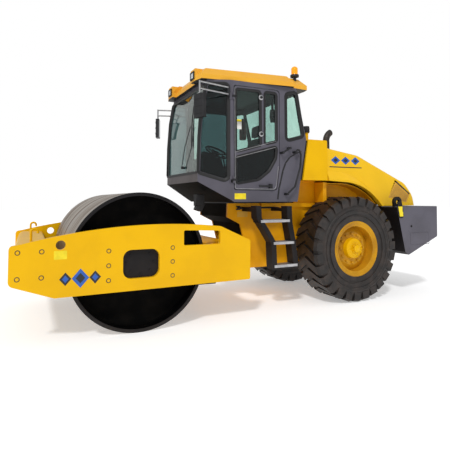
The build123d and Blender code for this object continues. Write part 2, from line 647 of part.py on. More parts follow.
def build_hood():
    arch_end, arch_mid = arch_points(ARCH_R, HOOD_FOOT)
    arch_top = (X_AXLE, AXLE_Z + ARCH_R)
    corners = hood_line(0, 0)
    top = FilletPolyline(*corners, radius=HOOD_BEND)
    edge = (top + Line(corners[-1], arch_end) + ThreePointArc(arch_end, arch_mid, arch_top)
            + Polyline(arch_top, (X_HOOD, TANK_FOOT), corners[0]))
    body = across(make_face(edge), -HOOD_HALF, HOOD_HALF)
    upper = [e for e in body.edges() if abs(abs(e.center().Y) - HOOD_HALF) < 1 and is_on_top(e)]
    body = fillet(upper, HOOD_ROUND)
    w = HOOD_WALL
    inside = hood_line(w, w)
    hollow = (FilletPolyline(*inside, radius=HOOD_BEND - w) + Line(inside[-1], (arch_end[0] - 5, HOOD_FOOT - 1))
              + ThreePointArc((arch_end[0] - 5, HOOD_FOOT - 1), (arch_mid[0] - 5, arch_mid[1] - 5), (X_AXLE, arch_top[1] - 5))
              + Polyline((X_AXLE, arch_top[1] - 5), (X_HOOD - 1, TANK_FOOT - 5), inside[0]))
    body = body - across(make_face(hollow), w - HOOD_HALF, HOOD_HALF - w)
    body = body - both_sides(vent_slots()) + both_sides(flare(arch_end, arch_mid, arch_top))
    for y in HOOD_HINGE_Y:
        x, _, z = hood_pin(y)
        r = HOOD_KNUCKLE_R
        tab = across(outline((x, z + r), (X_HOOD + 70, HOOD_TOP - 4), (X_HOOD + 70, HOOD_TOP - 22),
                             (X_HOOD, HOOD_TOP - 10), (x, z - r)), y - 10, y + 40)
        bore = rod((x, y - 11, z), (x, y + 41, z), HINGE_PIN_R + RUN_GAP)
        body = body + rod((x, y - 10, z), (x, y + 40, z), r) + tab - bore
    x = X_AXLE + EXHAUST_AT
    pad = HOOD_BREAK_Z + 34
    body = body + block(x - EXHAUST_PAD, x + EXHAUST_PAD, -EXHAUST_PAD, EXHAUST_PAD, HOOD_BREAK_Z - 30, pad)
    save("hood", body)
    bend = HOOD_TOP + EXHAUST_RISE
    path = Polyline((x, pad), (x, bend)) + ThreePointArc((x, bend), (x + 24, bend + 105), (x + 88, bend + 165))
    save("exhaust", sweep(Plane(origin=(x, 0, pad)) * Circle(EXHAUST_R), path=Plane.XZ * path))


def is_on_top(edge):
    """True for an edge of the hood's upper surface, left out the arch, the foot and the ends."""
    p = edge @ 0.5
    return p.Z > HOOD_FOOT + 2 and math.hypot(p.X - X_AXLE, p.Z - AXLE_Z) > ARCH_R + 60 and p.X > X_HOOD + 1


def vent_slots():
    """Slanted slots in the hood's side, between two lines that close towards the rear."""
    slots = []
    (a, b), (d, c) = VENT_TOP, VENT_LOW
    for k in range(VENT_BARS):
        rows = []
        for share in ((k + 0.12) / VENT_BARS, (k + 0.88) / VENT_BARS):
            rows.append([(X_AXLE + p[0] + share * (q[0] - p[0]), p[1] + share * (q[1] - p[1])) for p, q in ((a, d), (b, c))])
        slots.append(across(outline(rows[0][0], rows[0][1], rows[1][1], rows[1][0]), HOOD_HALF - HOOD_WALL - 5, HOOD_HALF + 5))
    return slots[0].fuse(*slots[1:])


def flare(arch_end, arch_mid, arch_top):
    """Fairing over the wheel arch: from high on the hood's side out to a lip along the arch."""
    lip_end, lip_mid = arch_points(ARCH_R + FLARE_LIP, HOOD_FOOT)
    front_low = (X_HOOD, TANK_FOOT)
    low_edge = ThreePointArc(arch_end, arch_mid, arch_top) + Line(arch_top, front_low)
    lip = ThreePointArc(lip_end, lip_mid, (X_AXLE, arch_top[1] + FLARE_LIP))
    outer = make_face(low_edge + Line(front_low, (X_HOOD, TANK_FOOT + FLARE_LIP))
                      + Line((X_HOOD, TANK_FOOT + FLARE_LIP), (X_AXLE, arch_top[1] + FLARE_LIP)) + lip
                      + Line(lip_end, arch_end))
    crest = (X_AXLE, TANK_FOOT + FLARE_RISE - 20)
    inner = make_face(low_edge + Line(front_low, (X_HOOD, TANK_FOOT + FLARE_RISE))
                      + Line((X_HOOD, TANK_FOOT + FLARE_RISE), crest)
                      + ThreePointArc(lip_end, (X_AXLE + FLARE_MID[0], FLARE_MID[1]), crest) + Line(lip_end, arch_end))
    return loft([Plane.XZ.offset(-(HOOD_HALF - 3)) * inner, Plane.XZ.offset(-(HOOD_HALF + FLARE_OUT)) * outer], ruled=True)


def build_fenders():
    """Inner wheel arches between the frame and the hood's side."""
    reach = ARCH_R - 20
    skin = reach - FENDER_T
    outer = HOOD_HALF - HOOD_WALL - SIDE_GAP
    top = AXLE_Z + reach
    low = FRAME_REAR_TOP - 40
    shape = rod((X_AXLE, FRAME_HALF, AXLE_Z), (X_AXLE, outer, AXLE_Z), reach)
    shape = shape + block(X_HOOD + 5, X_AXLE, FRAME_HALF, outer, low, top)
    hollow = rod((X_AXLE, FRAME_HALF + FENDER_T, AXLE_Z), (X_AXLE, outer + 1, AXLE_Z), skin)
    hollow = hollow + block(X_HOOD, X_AXLE, FRAME_HALF + FENDER_T, outer + 1, low - 1, top - FENDER_T)
    ahead = block(X_AXLE - reach - 10, X_HOOD + 5, FRAME_HALF - 1, outer + 1, 0, top + 5)
    below = block(X_AXLE - reach - 10, X_AXLE + reach + 10, FRAME_HALF - 1, outer + 1, AXLE_Z - reach - 5, low)
    tail = block(X_AXLE + BALLAST_AT - 5, X_AXLE + reach + 10, FRAME_HALF - 1, outer + 1, 0, HOOD_FOOT)
    fender = shape - hollow - ahead - below - tail
    save("fenders", *[flip(fender, side) for _, side in SIDES])


# ---------------------------------------------------------------- cab
def cab_side(w):
    """Side view of the cab, or of the space in it when it is inset by a wall."""
    front = X_CAB + w
    rear = X_CAB_REAR - w
    return make_face(Polyline((front + CAB_TOP_BACK, CAB_TOP), (rear - CAB_REAR_LEAN, CAB_TOP), (rear, CAB_BELT),
                              (rear - CAB_REAR_LEAN, CAB_FLOOR + w), (X_CAB + CAB_NOSE + 45, CAB_FLOOR + w),
                              (front, CAB_NOSE_Z + w / 2), (front + 10, 2250))
                     + ThreePointArc((front + 10, 2250), (front + 42, 2640), (front + CAB_TOP_BACK, CAB_TOP)))


def cab_plan(w, rear, low, high):
    """Upright prism over the cab's plan, which narrows to the windshield."""
    nose = CAB_NOSE_HALF - w * 0.7
    half = CAB_HALF - w
    shoulder = X_CAB + CAB_NOSE + w * 0.3
    return upright(outline((X_CAB + w, -nose), (shoulder, -half), (rear, -half), (rear, half), (shoulder, half),
                           (X_CAB + w, nose)), low, high)


def cab_solid(w, low, high):
    half = CAB_HALF - w
    return across(cab_side(w), -half, half) & cab_plan(w, X_CAB_REAR + 1, low, high)


def door_face(grow):
    x0 = X_DOOR - grow
    x1 = X_DOOR + DOOR_W + grow
    return outline((x0, DOOR_SILL - grow, 30), (x1 - DOOR_TUCK, DOOR_SILL - grow, 40), (x1 - 5, 1893, 60),
                   (x1, DOOR_TOP + grow, 50), (x0, DOOR_TOP + grow, 30))


def door_panes():
    """The door's glass: two panes over a sloping bar and a low one with a curved rear edge."""
    x0 = X_DOOR + DOOR_FRAME
    post = X_DOOR + DOOR_POST_AT
    x1 = X_DOOR + DOOR_W - 50
    top = DOOR_TOP - 45

    def belt(x):
        return DOOR_BELT_FRONT + DOOR_BELT_RISE * (x - X_DOOR) / DOOR_W

    front = outline((x0, belt(x0), 20), (post, belt(post), 20), (post, top, 30), (x0, top, 30))
    post += DOOR_POST
    rear = outline((post, belt(post), 20), (x1, belt(x1), 20), (x1, top, 30), (post, top, 30))
    low = outline((x0, DOOR_SILL + 80, 25), (X_DOOR + 358, DOOR_SILL + 140, 150), (X_DOOR + 520, DOOR_SILL + 260, 90),
                  (x1 - 15, DOOR_SILL + 430, 60), (x1, belt(x1) - DOOR_BELT_H, 25), (x0, belt(x0) - DOOR_BELT_H, 20))
    return front, rear, low


def side_window_face():
    x0 = X_DOOR + DOOR_FRAME
    x1 = X_DOOR + DOOR_W - 50
    return outline((x0, DOOR_SILL + 80, 40), (x1 - 130, DOOR_SILL + 180, 140), (x1, DOOR_SILL + 460, 60),
                   (x1, DOOR_TOP - 45, 40), (x0, DOOR_TOP - 45, 40))


def quarter_face():
    x0 = X_CAB + QUARTER_AT
    x1 = X_CAB_REAR - SEAL - 40
    return outline((x0, CAB_BELT - 25, 30), (x1, CAB_BELT + 45, 40), (x1 - 109, CAB_TOP - 75, 30),
                   (x0, CAB_TOP - 110, 30))


def corner_face():
    """Glass between the windshield's side and the front door pillar, seen from the side."""
    front = X_CAB + SEAL + 5
    rear = X_CAB + CAB_NOSE - 40
    return outline((front, WIND_SILL, 25), (rear, WIND_SILL - 110, 40), (rear, CAB_TOP - 70, 30),
                   (front + 102, CAB_TOP - 70, 25), (front + 42, 2640), (front + 10, 2250))


def pane_cut(half, low, high, x0, x1):
    return along(outline((-half, low, 40), (half, low, 40), (half, high, 40), (-half, high, 40)), x0, x1)


def build_cab():
    shell = cab_solid(0, CAB_FLOOR, CAB_TOP) - cab_solid(CAB_WALL, CAB_FLOOR + FLOOR_T, CAB_TOP + 1)
    shell = shell - cab_solid(CAB_WALL, CAB_TOP - 60, CAB_TOP + 1)
    core = cab_plan(CAB_WALL, X_CAB_REAR - CAB_REAR_LEAN - CAB_WALL, CAB_FLOOR - 1, CAB_NOSE_Z + 60)
    floor = shell & core
    save("cab_floor", floor)
    shell = shell - core
    side_cut = (CAB_HALF - CAB_WALL - 5, CAB_HALF + 1)
    doorway = across(door_face(DOOR_GAP), -side_cut[1], -side_cut[0])
    right = across(side_window_face(), *side_cut)
    quarters = both_sides(across(quarter_face(), *side_cut))
    corners = both_sides(across(corner_face(), CAB_NOSE_HALF - 60, CAB_HALF + 1))
    wind = pane_cut(CAB_NOSE_HALF - SEAL, WIND_SILL, CAB_TOP - 70, X_CAB - 50, X_CAB + 260)
    rear = pane_cut(CAB_HALF - CAB_WALL - 5, CAB_BELT - 60, CAB_TOP - 90, X_CAB_REAR - 250, X_CAB_REAR + 50)
    shell = shell - doorway - right - quarters - wind - rear - corners
    for z in DOOR_HINGE_Z:
        shell = shell + hinge_leaf(z)
    save("cab_shell", shell)
    skin = cab_solid(GLASS_SET, CAB_FLOOR, CAB_TOP) - cab_solid(GLASS_SET + GLASS_T, CAB_FLOOR, CAB_TOP)
    save("windshield", skin & wind)
    panes = [skin & right, skin & rear] + list((skin & corners).solids()) + list((skin & quarters).solids())
    save("cab_glass", *panes)
    pads = []
    for x in (X_CAB + CAB_NOSE + 200, X_CAB_REAR - 350):
        for _, side in SIDES:
            pads.append(rod((x, side * (FRAME_HALF - 60), FRAME_TOP), (x, side * (FRAME_HALF - 60), CAB_FLOOR), 55))
    save("cab_mounts", *pads)


def hinge_leaf(z):
    """The cab's half of a door hinge: a leaf with a knuckle at each end and the pin."""
    x = X_DOOR - HINGE_AHEAD
    y = -CAB_HALF - HINGE_OUT
    half = block(x - 50, x, -CAB_HALF - 6, -CAB_HALF, z, z + 3 * KNUCKLE_H)
    for low in (z, z + 2 * KNUCKLE_H + 1):
        half = half + rod((x, y, low), (x, y, low + KNUCKLE_H - 1), KNUCKLE_R)
    gap = block(x - KNUCKLE_R - 4, x + KNUCKLE_R + 5, y - KNUCKLE_R, -CAB_HALF, z + KNUCKLE_H - 1,
                z + 2 * KNUCKLE_H + 1)
    return half - gap + rod((x, y, z), (x, y, z + 3 * KNUCKLE_H), HINGE_PIN_R)


def build_door():
    w = CAB_WALL
    panel = across(door_face(0), -CAB_HALF, w - CAB_HALF)
    glass = []
    for face in door_panes():
        panel = panel - across(face, -CAB_HALF - 1, w - CAB_HALF + 1)
        glass.append(across(face, GLASS_SET - CAB_HALF, GLASS_SET + GLASS_T - CAB_HALF))
    save("door", panel)
    save("door_glass", *glass)
    x = X_DOOR - HINGE_AHEAD
    y = -CAB_HALF - HINGE_OUT
    pieces = []
    for z in DOOR_HINGE_Z:
        low = z + KNUCKLE_H + 1
        high = z + 2 * KNUCKLE_H - 1
        knuckle = rod((x, y, low), (x, y, high), KNUCKLE_R)
        knuckle = knuckle + block(x, X_DOOR + DOOR_FRAME - 4, y - 4, y + 2, low, high)
        knuckle = knuckle + block(X_DOOR + 2, X_DOOR + DOOR_FRAME - 4, y - 4, -CAB_HALF, low, high)
        pieces.append(knuckle - rod((x, y, low - 1), (x, y, high + 1), HINGE_PIN_R + RUN_GAP))
    x = X_DOOR + DOOR_W - 140
    z = DOOR_SILL + 45
    lever = block(x - 200, x, -CAB_HALF - HANDLE_OUT, -CAB_HALF - HANDLE_OUT + 18, z - 12, z + 12)
    lever = lever + block(x - 40, x, -CAB_HALF - HANDLE_OUT, -CAB_HALF, z - 30, z + 30)
    save("door_fittings", lever, *pieces)


def build_roof():
    half_plan = ((60, 0), (60, POD_Y - POD_HALF), (60 - POD_AHEAD, POD_Y - POD_HALF), (60 - POD_AHEAD, POD_Y + POD_HALF),
                 (30, ROOF_HALF_FRONT), (1360, ROOF_HALF_REAR), (1395, 800), (1640, 780), (1400 + ROOF_TAIL, 700))
    points = [(X_CAB + x, y) for x, y in half_plan[1:]]
    points += [(x, -y) for x, y in reversed(points)]
    middle = X_CAB + 830
    shrink_x = 1 - ROOF_BEVEL / 830
    shrink_y = 1 - ROOF_BEVEL / ROOF_HALF_REAR
    edge = CAB_TOP + ROOF_EDGE
    top = [(middle + (x - middle) * shrink_x, y * shrink_y) for x, y in points]
    plate = upright(outline(*points), CAB_TOP, edge)
    lid = loft([Plane.XY.offset(edge) * outline(*points), Plane.XY.offset(CAB_TOP + ROOF_LOW) * outline(*top)], ruled=True)
    roof = plate + lid
    lenses = []
    face = X_CAB + 60 - POD_AHEAD
    z = CAB_TOP + LAMP_RISE
    for _, side in SIDES:
        y = side * POD_Y
        roof = roof + block(face, face + 220, y - POD_HALF, y + POD_HALF, CAB_TOP, CAB_TOP + ROOF_LOW)
        lenses.append(block(face - LAMP_T, face, y - LAMP_W / 2, y + LAMP_W / 2, z - LAMP_H / 2, z + LAMP_H / 2))
    save("roof", roof)
    save("roof_lamps", *lenses)
    x = X_CAB + BEACON_AT
    base = CAB_TOP + ROOF_LOW + 20
    stand = rod((x, BEACON_Y, CAB_TOP + ROOF_EDGE - 10), (x, BEACON_Y, base), 24)
    save("beacon_stand", stand - roof + rod((x, BEACON_Y, base), (x, BEACON_Y, base + 30), BEACON_R + 12))
    save("beacon", rod((x, BEACON_Y, base + 30), (x, BEACON_Y, base + 30 + BEACON_H), BEACON_R))


def build_inside():
    floor = CAB_FLOOR + FLOOR_T
    x = X_DOOR + SEAT_AT
    save("seat_base", block(x - 200, x + 230, -230, 230, floor, floor + 260))
    save("seat_cushion", block(x - 230, x + 240, -250, 250, floor + 260, floor + 370))
    low = floor + 370
    back = across(outline((x + 160, low, 30), (x + 260, low, 30), (x + 345, low + 560, 40), (x + 240, low + 560, 40)),
                  -240, 240)
    head = across(outline((x + 255, low + 540, 20), (x + 330, low + 540, 20), (x + 355, low + 760, 30),
                          (x + 285, low + 760, 30)), -130, 130)
    save("seat_back", back + head)
    column = across(outline((X_CAB + 475, floor), (X_CAB + 610, floor), (X_CAB + 580, floor + 460, 30),
                            (X_CAB + 540, floor + 590, 40), (X_CAB + 250, floor + 590, 40), (X_CAB + 280, floor + 430, 60)),
                    -190, 190)
    save("console", column)
    centre = (X_CAB + 560, 0, floor + STEER_WHEEL_UP)
    plane = Plane(origin=centre, z_dir=(0.45, 0, 0.9))
    ring = plane * (Pos(0, 0, -13) * (Cylinder(190, 26) - Cylinder(160, 28)))
    spoke = plane * Pos(0, 0, -13) * Box(335, 40, 16)
    stem = rod((X_CAB + 510, 0, floor + 550), (centre[0] - 8, 0, centre[2] - 16), 25)
    save("steering_wheel", (ring + spoke + stem) - column)


def rail(points, y, radius):
    """Bent round bar beside the cab, held by a foot at each end."""
    line = FilletPolyline(*points, radius=GRAB_BEND) if len(points) > 2 else Line(*points)
    wire = Plane.XZ.offset(-y) * line
    bar = sweep(Plane(origin=wire @ 0, z_dir=wire % 0) * Circle(radius), path=wire)
    for x, z in (points[0], points[-1]):
        bar = bar + rod((x, y - radius - 4, z), (x, -CAB_HALF, z), radius + 4)
    return bar


def build_outside_fittings():
    outer = cab_solid(0, CAB_FLOOR, CAB_TOP)
    y = CAB_HALF + MIRROR_OUT
    x = X_CAB - 80
    low = MIRROR_Z - MIRROR_H / 2
    foot = X_CAB + CAB_NOSE - 40
    head = upright(outline((-MIRROR_T / 2, -MIRROR_W / 2, 20), (MIRROR_T / 2, -MIRROR_W / 2), (MIRROR_T / 2, MIRROR_W / 2),
                           (-MIRROR_T / 2, MIRROR_W / 2, 20)), low, low + MIRROR_H)
    arm = Pos(x, y, 0) * Rot(0, 0, -MIRROR_TURN) * head
    arm = arm + rod((x, y, low + MIRROR_H - 5), (x, y, MIRROR_BARS[1] + BAR_R), BAR_R)
    for z in MIRROR_BARS:
        arm = arm + rod((x, y, z), (foot, CAB_HALF + 14, z), BAR_R)
    clip = block(foot - 18, foot + 14, CAB_HALF - 25, CAB_HALF + 26, MIRROR_BARS[0] - 25, MIRROR_BARS[1] + 25)
    arm = arm + (clip - outer)
    save("mirrors", *[flip(arm, side) for _, side in SIDES])
    bars = [rail([(X_CAB + dx, z) for dx, z in points], -CAB_HALF - 60, GRAB_R) for points in GRAB_LINES]
    save("grab_rails", *bars)
    build_ladder()


def build_ladder():
    back = LADDER_IN - CAB_HALF
    out = back - LADDER_DEPTH
    foot = X_AXLE - TYRE_R - LADDER_GAP
    rails = []
    for points in (LADDER_FRONT, LADDER_REAR):
        line = [(foot + dx, z) for dx, z in points]
        edge = [(x + RAIL_W, z) for x, z in reversed(line)]
        rails.append(across(make_face(Polyline(*line, *edge, close=True)), out, back))
    steps = [block(foot + x0, foot + x1, out + 2, back - 2, z - thick, z) for x0, x1, z, thick in LADDER_STEPS]
    arms = [block(foot + x, foot + x + 50, back - 60, -FRAME_HALF, 1285, 1330) for x in LADDER_ARMS]
    save("ladder", rails[0].fuse(rails[1], *steps, *arms))


build_drum()
build_drum_carriers()
build_side_plates()
build_cross_beams()
build_hooks()
build_scrapers()
HITCH_PIN = build_hitch()
build_steering_cylinders()
build_rear_frame(HITCH_PIN)
build_rear_axle()
build_wheels()
build_ballast()
build_tank()
build_hood()
build_fenders()
build_cab()
build_door()
build_roof()
build_inside()
build_outside_fittings()
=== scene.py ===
"""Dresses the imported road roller: finishes for every part, small hardware, tyres, cab fittings and lamps."""

from math import copysign, cos, hypot, pi, radians, sin

import bmesh
import bpy
from mathutils import Matrix, Vector


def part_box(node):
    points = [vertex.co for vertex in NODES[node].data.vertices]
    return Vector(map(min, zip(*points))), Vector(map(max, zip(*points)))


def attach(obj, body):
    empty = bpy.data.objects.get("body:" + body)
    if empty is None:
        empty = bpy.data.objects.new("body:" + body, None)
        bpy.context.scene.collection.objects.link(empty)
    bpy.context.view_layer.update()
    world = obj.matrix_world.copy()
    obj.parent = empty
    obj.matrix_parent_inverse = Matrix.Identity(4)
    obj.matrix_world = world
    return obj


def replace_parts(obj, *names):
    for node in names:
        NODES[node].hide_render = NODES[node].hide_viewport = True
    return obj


bl_info = {
    "name": "Road roller dressing",
    "version": (1, 0, 0),
    "blender": (4, 5, 0),
    "location": "View3D > Sidebar > Roller",
    "description": "Finishes, hardware, tyres, cab fittings and lamps for a single-drum soil roller",
    "category": "Object",
}

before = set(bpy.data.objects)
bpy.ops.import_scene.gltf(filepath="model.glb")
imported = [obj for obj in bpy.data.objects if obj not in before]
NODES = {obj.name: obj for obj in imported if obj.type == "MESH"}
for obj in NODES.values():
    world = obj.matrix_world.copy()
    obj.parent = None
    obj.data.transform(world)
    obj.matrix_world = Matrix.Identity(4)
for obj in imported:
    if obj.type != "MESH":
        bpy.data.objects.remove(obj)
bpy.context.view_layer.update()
SIDES = (("left", -1), ("right", 1))


# ------------------------------------------------------------------ places read from the frame
def low(node):
    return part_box(node)[0]


def high(node):
    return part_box(node)[1]


def middle(node):
    lo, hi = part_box(node)
    return (lo + hi) / 2


DRUM = middle("drum_shell")
DRUM_R = (high("drum_shell").z - low("drum_shell").z) / 2
AXLE = middle("tyre_right").x
PLATE_FACE = high("side_plate_right").y
CAB_MIDDLE = middle("cab_shell")
CAB_SIDE = high("cab_shell").y
DOOR_FRONT = low("door").x
HOOD_FRONT = high("tank").x

# ------------------------------------------------------------------ sizes in metres, not held by the frame
DRUM_WALL = 0.032  # thickness of the drum's shell
HOOD_SIDE = 0.735  # from the middle to the hood's flat side
MIRROR_MIDDLE = (-0.98, 0.93, 2.605)  # on the right; the left one is its mirror image
MIRROR_TURN = radians(22.5)
WHEEL_BOLT_RING = 0.205
HUB_BOLT_RING = 0.078
PAINT_PATCH = 0.35  # patches of paint tone
DUST_TOP = 1.2  # height at which the dust has faded out
FAR_OUT = 2.0  # beside the machine, where a line towards its side starts


# ------------------------------------------------------------------ materials
def rgba(code):
    """Linear colour of an sRGB hex value."""
    parts = [int(code[i:i + 2], 16) / 255 for i in (0, 2, 4)]
    return (*(c / 12.92 if c <= 0.04045 else ((c + 0.055) / 1.055) ** 2.4 for c in parts), 1.0)


def add(tree, kind, links=None, **settings):
    """Adds a node, sets its values and fields, and links its inputs: links = {input: output socket}."""
    node = tree.nodes.new(kind)
    for key, value in settings.items():
        if hasattr(node, key):
            setattr(node, key, value)
        else:
            node.inputs[key.replace("_", " ")].default_value = value
    for key, socket in (links or {}).items():
        tree.links.new(socket, node.inputs[key])
    return node


def new_material(name, **surface):
    """A material with a Principled surface whose sockets hold the given values."""
    material = bpy.data.materials.new(name)
    material.use_nodes = True
    tree = material.node_tree
    shader = tree.nodes["Principled BSDF"]
    for key, value in surface.items():
        shader.inputs[key.replace("_", " ")].default_value = value
    place = add(tree, "ShaderNodeTexCoord").outputs["Object"]
    return material, tree, shader, place


def noise(tree, place, scale, detail):
    return add(tree, "ShaderNodeTexNoise", {"Vector": place}, Scale=scale, Detail=detail).outputs["Fac"]


def spread(tree, value, **limits):
    """Stretches a value between the limits From_Min and From_Max to the ones To_Min and To_Max."""
    return add(tree, "ShaderNodeMapRange", {"Value": value}, **limits).outputs["Result"]


def blend(tree, share, under, code):
    """Mixes a hex colour over a hex colour or a colour socket, by a share."""
    mix = add(tree, "ShaderNodeMix", {"Factor": share}, data_type="RGBA", B=rgba(code))
    if isinstance(under, str):
        mix.inputs["A"].default_value = rgba(under)
    else:
        tree.links.new(under, mix.inputs["A"])
    return mix.outputs["Result"]


def mottle(tree, place, shader, code, shade, size, lo=0.4, hi=0.65):
    """Blends two colours by soft noise whose patches are about size metres across."""
    share = spread(tree, noise(tree, place, 1 / size, 4.0), From_Min=lo, From_Max=hi)
    colour = blend(tree, share, code, shade)
    tree.links.new(colour, shader.inputs["Base Color"])
    return colour


def raise_surface(tree, shader, height, strength, distance):
    bump = add(tree, "ShaderNodeBump", {"Height": height}, Strength=strength, Distance=distance)
    tree.links.new(bump.outputs["Normal"], shader.inputs["Normal"])


def toned(name, code, shade, patch, grain=None, lo=0.4, hi=0.65, **surface):
    """A material of two tones in patches; grain is the size, strength and height of its unevenness."""
    material, tree, shader, place = new_material(name, **surface)
    mottle(tree, place, shader, code, shade, patch, lo, hi)
    if grain:
        size, strength, distance = grain
        raise_surface(tree, shader, noise(tree, place, 1 / size, 3.0), strength, distance)
    return material


def enamel(name, code, shade, dust="B59A6A", gloss=0.32, dust_share=0.35):
    """Sprayed alkyd enamel on steel plate: the eye sees a satin gloss with a faint orange peel, and dust that
    is thickest at the ground and fades out at a height."""
    material, tree, shader, place = new_material(name, Roughness=gloss, Specular_IOR_Level=0.14,
                                                 Coat_Weight=0.05, Coat_Roughness=0.15)
    colour = mottle(tree, place, shader, code, shade, PAINT_PATCH)
    raise_surface(tree, shader, noise(tree, place, 1 / 0.004, 3.0), 0.06, 0.001)
    split = add(tree, "ShaderNodeSeparateXYZ", {"Vector": place})
    fade = spread(tree, split.outputs["Z"], From_Min=0.1, From_Max=DUST_TOP, To_Min=dust_share, To_Max=0.0)
    cover = add(tree, "ShaderNodeMath", {0: fade, 1: noise(tree, place, 7.0, 6.0)}, operation="MULTIPLY")
    tree.links.new(blend(tree, cover.outputs["Value"], colour, dust), shader.inputs["Base Color"])
    return material


def rolled_steel():
    """Steel polished by rolling: the eye sees streaks that run round the drum, and patches of dry earth."""
    material, tree, shader, place = new_material("rolled steel", Metallic=0.75, Roughness=0.42)
    stretch = add(tree, "ShaderNodeMapping", {"Vector": place}, Scale=(0.35, 6.0, 0.35)).outputs["Vector"]
    streak = noise(tree, stretch, 5.0, 6.0)
    steel = blend(tree, spread(tree, streak, From_Min=0.35, From_Max=0.65), "857A6E", "BFB5A8")
    patch = noise(tree, stretch, 1.7, 8.0)
    earth = blend(tree, spread(tree, patch, From_Min=0.53, From_Max=0.63, To_Max=0.85), steel, "644A3A")
    tree.links.new(earth, shader.inputs["Base Color"])
    rough = spread(tree, patch, From_Min=0.4, From_Max=0.7, To_Min=0.3, To_Max=0.65)
    tree.links.new(rough, shader.inputs["Roughness"])
    raise_surface(tree, shader, streak, 0.15, 0.002)
    return material


def tyre_rubber():
    """Moulded natural rubber: satin brown-black, and paler where the tread and the wall are scuffed."""
    return toned("tyre rubber", "191412", "332924", 0.12, (0.006, 0.25, 0.0015), 0.42, 0.7,
                 Roughness=0.5, Specular_IOR_Level=0.5)


def drum_interior():
    """Primed steel, polished by oil and dust: black, with a gleam along the drum's edge."""
    return toned("oiled black steel", "040405", "0C0A09", 0.2, (0.01, 0.1, 0.001),
                 Roughness=0.34, Specular_IOR_Level=0.3)


def primed_black():
    """Black primer on steel that is never polished: matt, so that it stays dark in the shade."""
    return toned("black primer", "050505", "100E0C", 0.15, (0.008, 0.1, 0.001),
                 Roughness=0.8, Specular_IOR_Level=0.08)


def moulded_plastic(name, code, shade, rough=0.55):
    """Moulded polypropylene or ABS: an even tone, whose fine grain breaks up the highlights."""
    return toned(name, code, shade, 0.15, (0.0025, 0.2, 0.0006), Roughness=rough, Specular_IOR_Level=0.4)


def soft_rubber():
    """Extruded window rubber: black, with a soft gleam along its rounded lip."""
    return toned("extruded rubber", "0E0E10", "161618", 0.05, Roughness=0.5)


def tinted_glass(name, tint, deep):
    """Tinted 8 mm float glass: sharp in gloss, with a green cast that dust makes faintly uneven.
    It lets lamps through, so what stands behind it is lit evenly."""
    material, tree, shader, place = new_material(name, Roughness=0.0, IOR=1.45, Transmission_Weight=1.0)
    mottle(tree, place, shader, tint, deep, 0.5)
    way = add(tree, "ShaderNodeLightPath")
    clear = add(tree, "ShaderNodeBsdfTransparent", Color=rgba(tint))
    pane = add(tree, "ShaderNodeMixShader", {"Fac": way.outputs["Is Shadow Ray"], 1: shader.outputs["BSDF"],
                                             2: clear.outputs["BSDF"]})
    tree.links.new(pane.outputs["Shader"], tree.nodes["Material Output"].inputs["Surface"])
    return material


def bare_metal(name, code, shade, rough, metallic=1.0):
    """Cast, rolled or plated metal: it mirrors as sharply as it is smooth, broken by faint marks."""
    return toned(name, code, shade, 0.06, (0.003, 0.12, 0.0005), Metallic=metallic, Roughness=rough)


def lens_plastic(name, code, shade, glow=0.0):
    """Injection-moulded acrylic lens: clear and glossy, with fine prisms behind its face that glitter."""
    return toned(name, code, shade, 0.02, (0.006, 0.3, 0.001), Roughness=0.12, IOR=1.49,
                 Transmission_Weight=0.3, Emission_Strength=glow, Emission_Color=rgba(code))


def woven_cloth():
    """Woven polyester seat cloth: dark and matt, with ribs 4 mm apart, coarse enough for the view to show."""
    material, tree, shader, place = new_material("woven seat cloth", Roughness=0.9, Sheen_Weight=0.4)
    mottle(tree, place, shader, "26262B", "34343B", 0.03)
    warp, weft = (add(tree, "ShaderNodeTexWave", {"Vector": place}, Scale=80.0,
                      bands_direction=way).outputs["Fac"]
                  for way in "XY")
    weave = add(tree, "ShaderNodeMath", {0: warp, 1: weft}, operation="MAXIMUM")
    raise_surface(tree, shader, weave.outputs["Value"], 0.3, 0.001)
    return material


def flat_film(name, code, worn):
    """Printed vinyl film: semi-gloss and flat in tone, but for a little wear."""
    return toned(name, code, worn, 0.06, Roughness=0.35)


MAT = {}


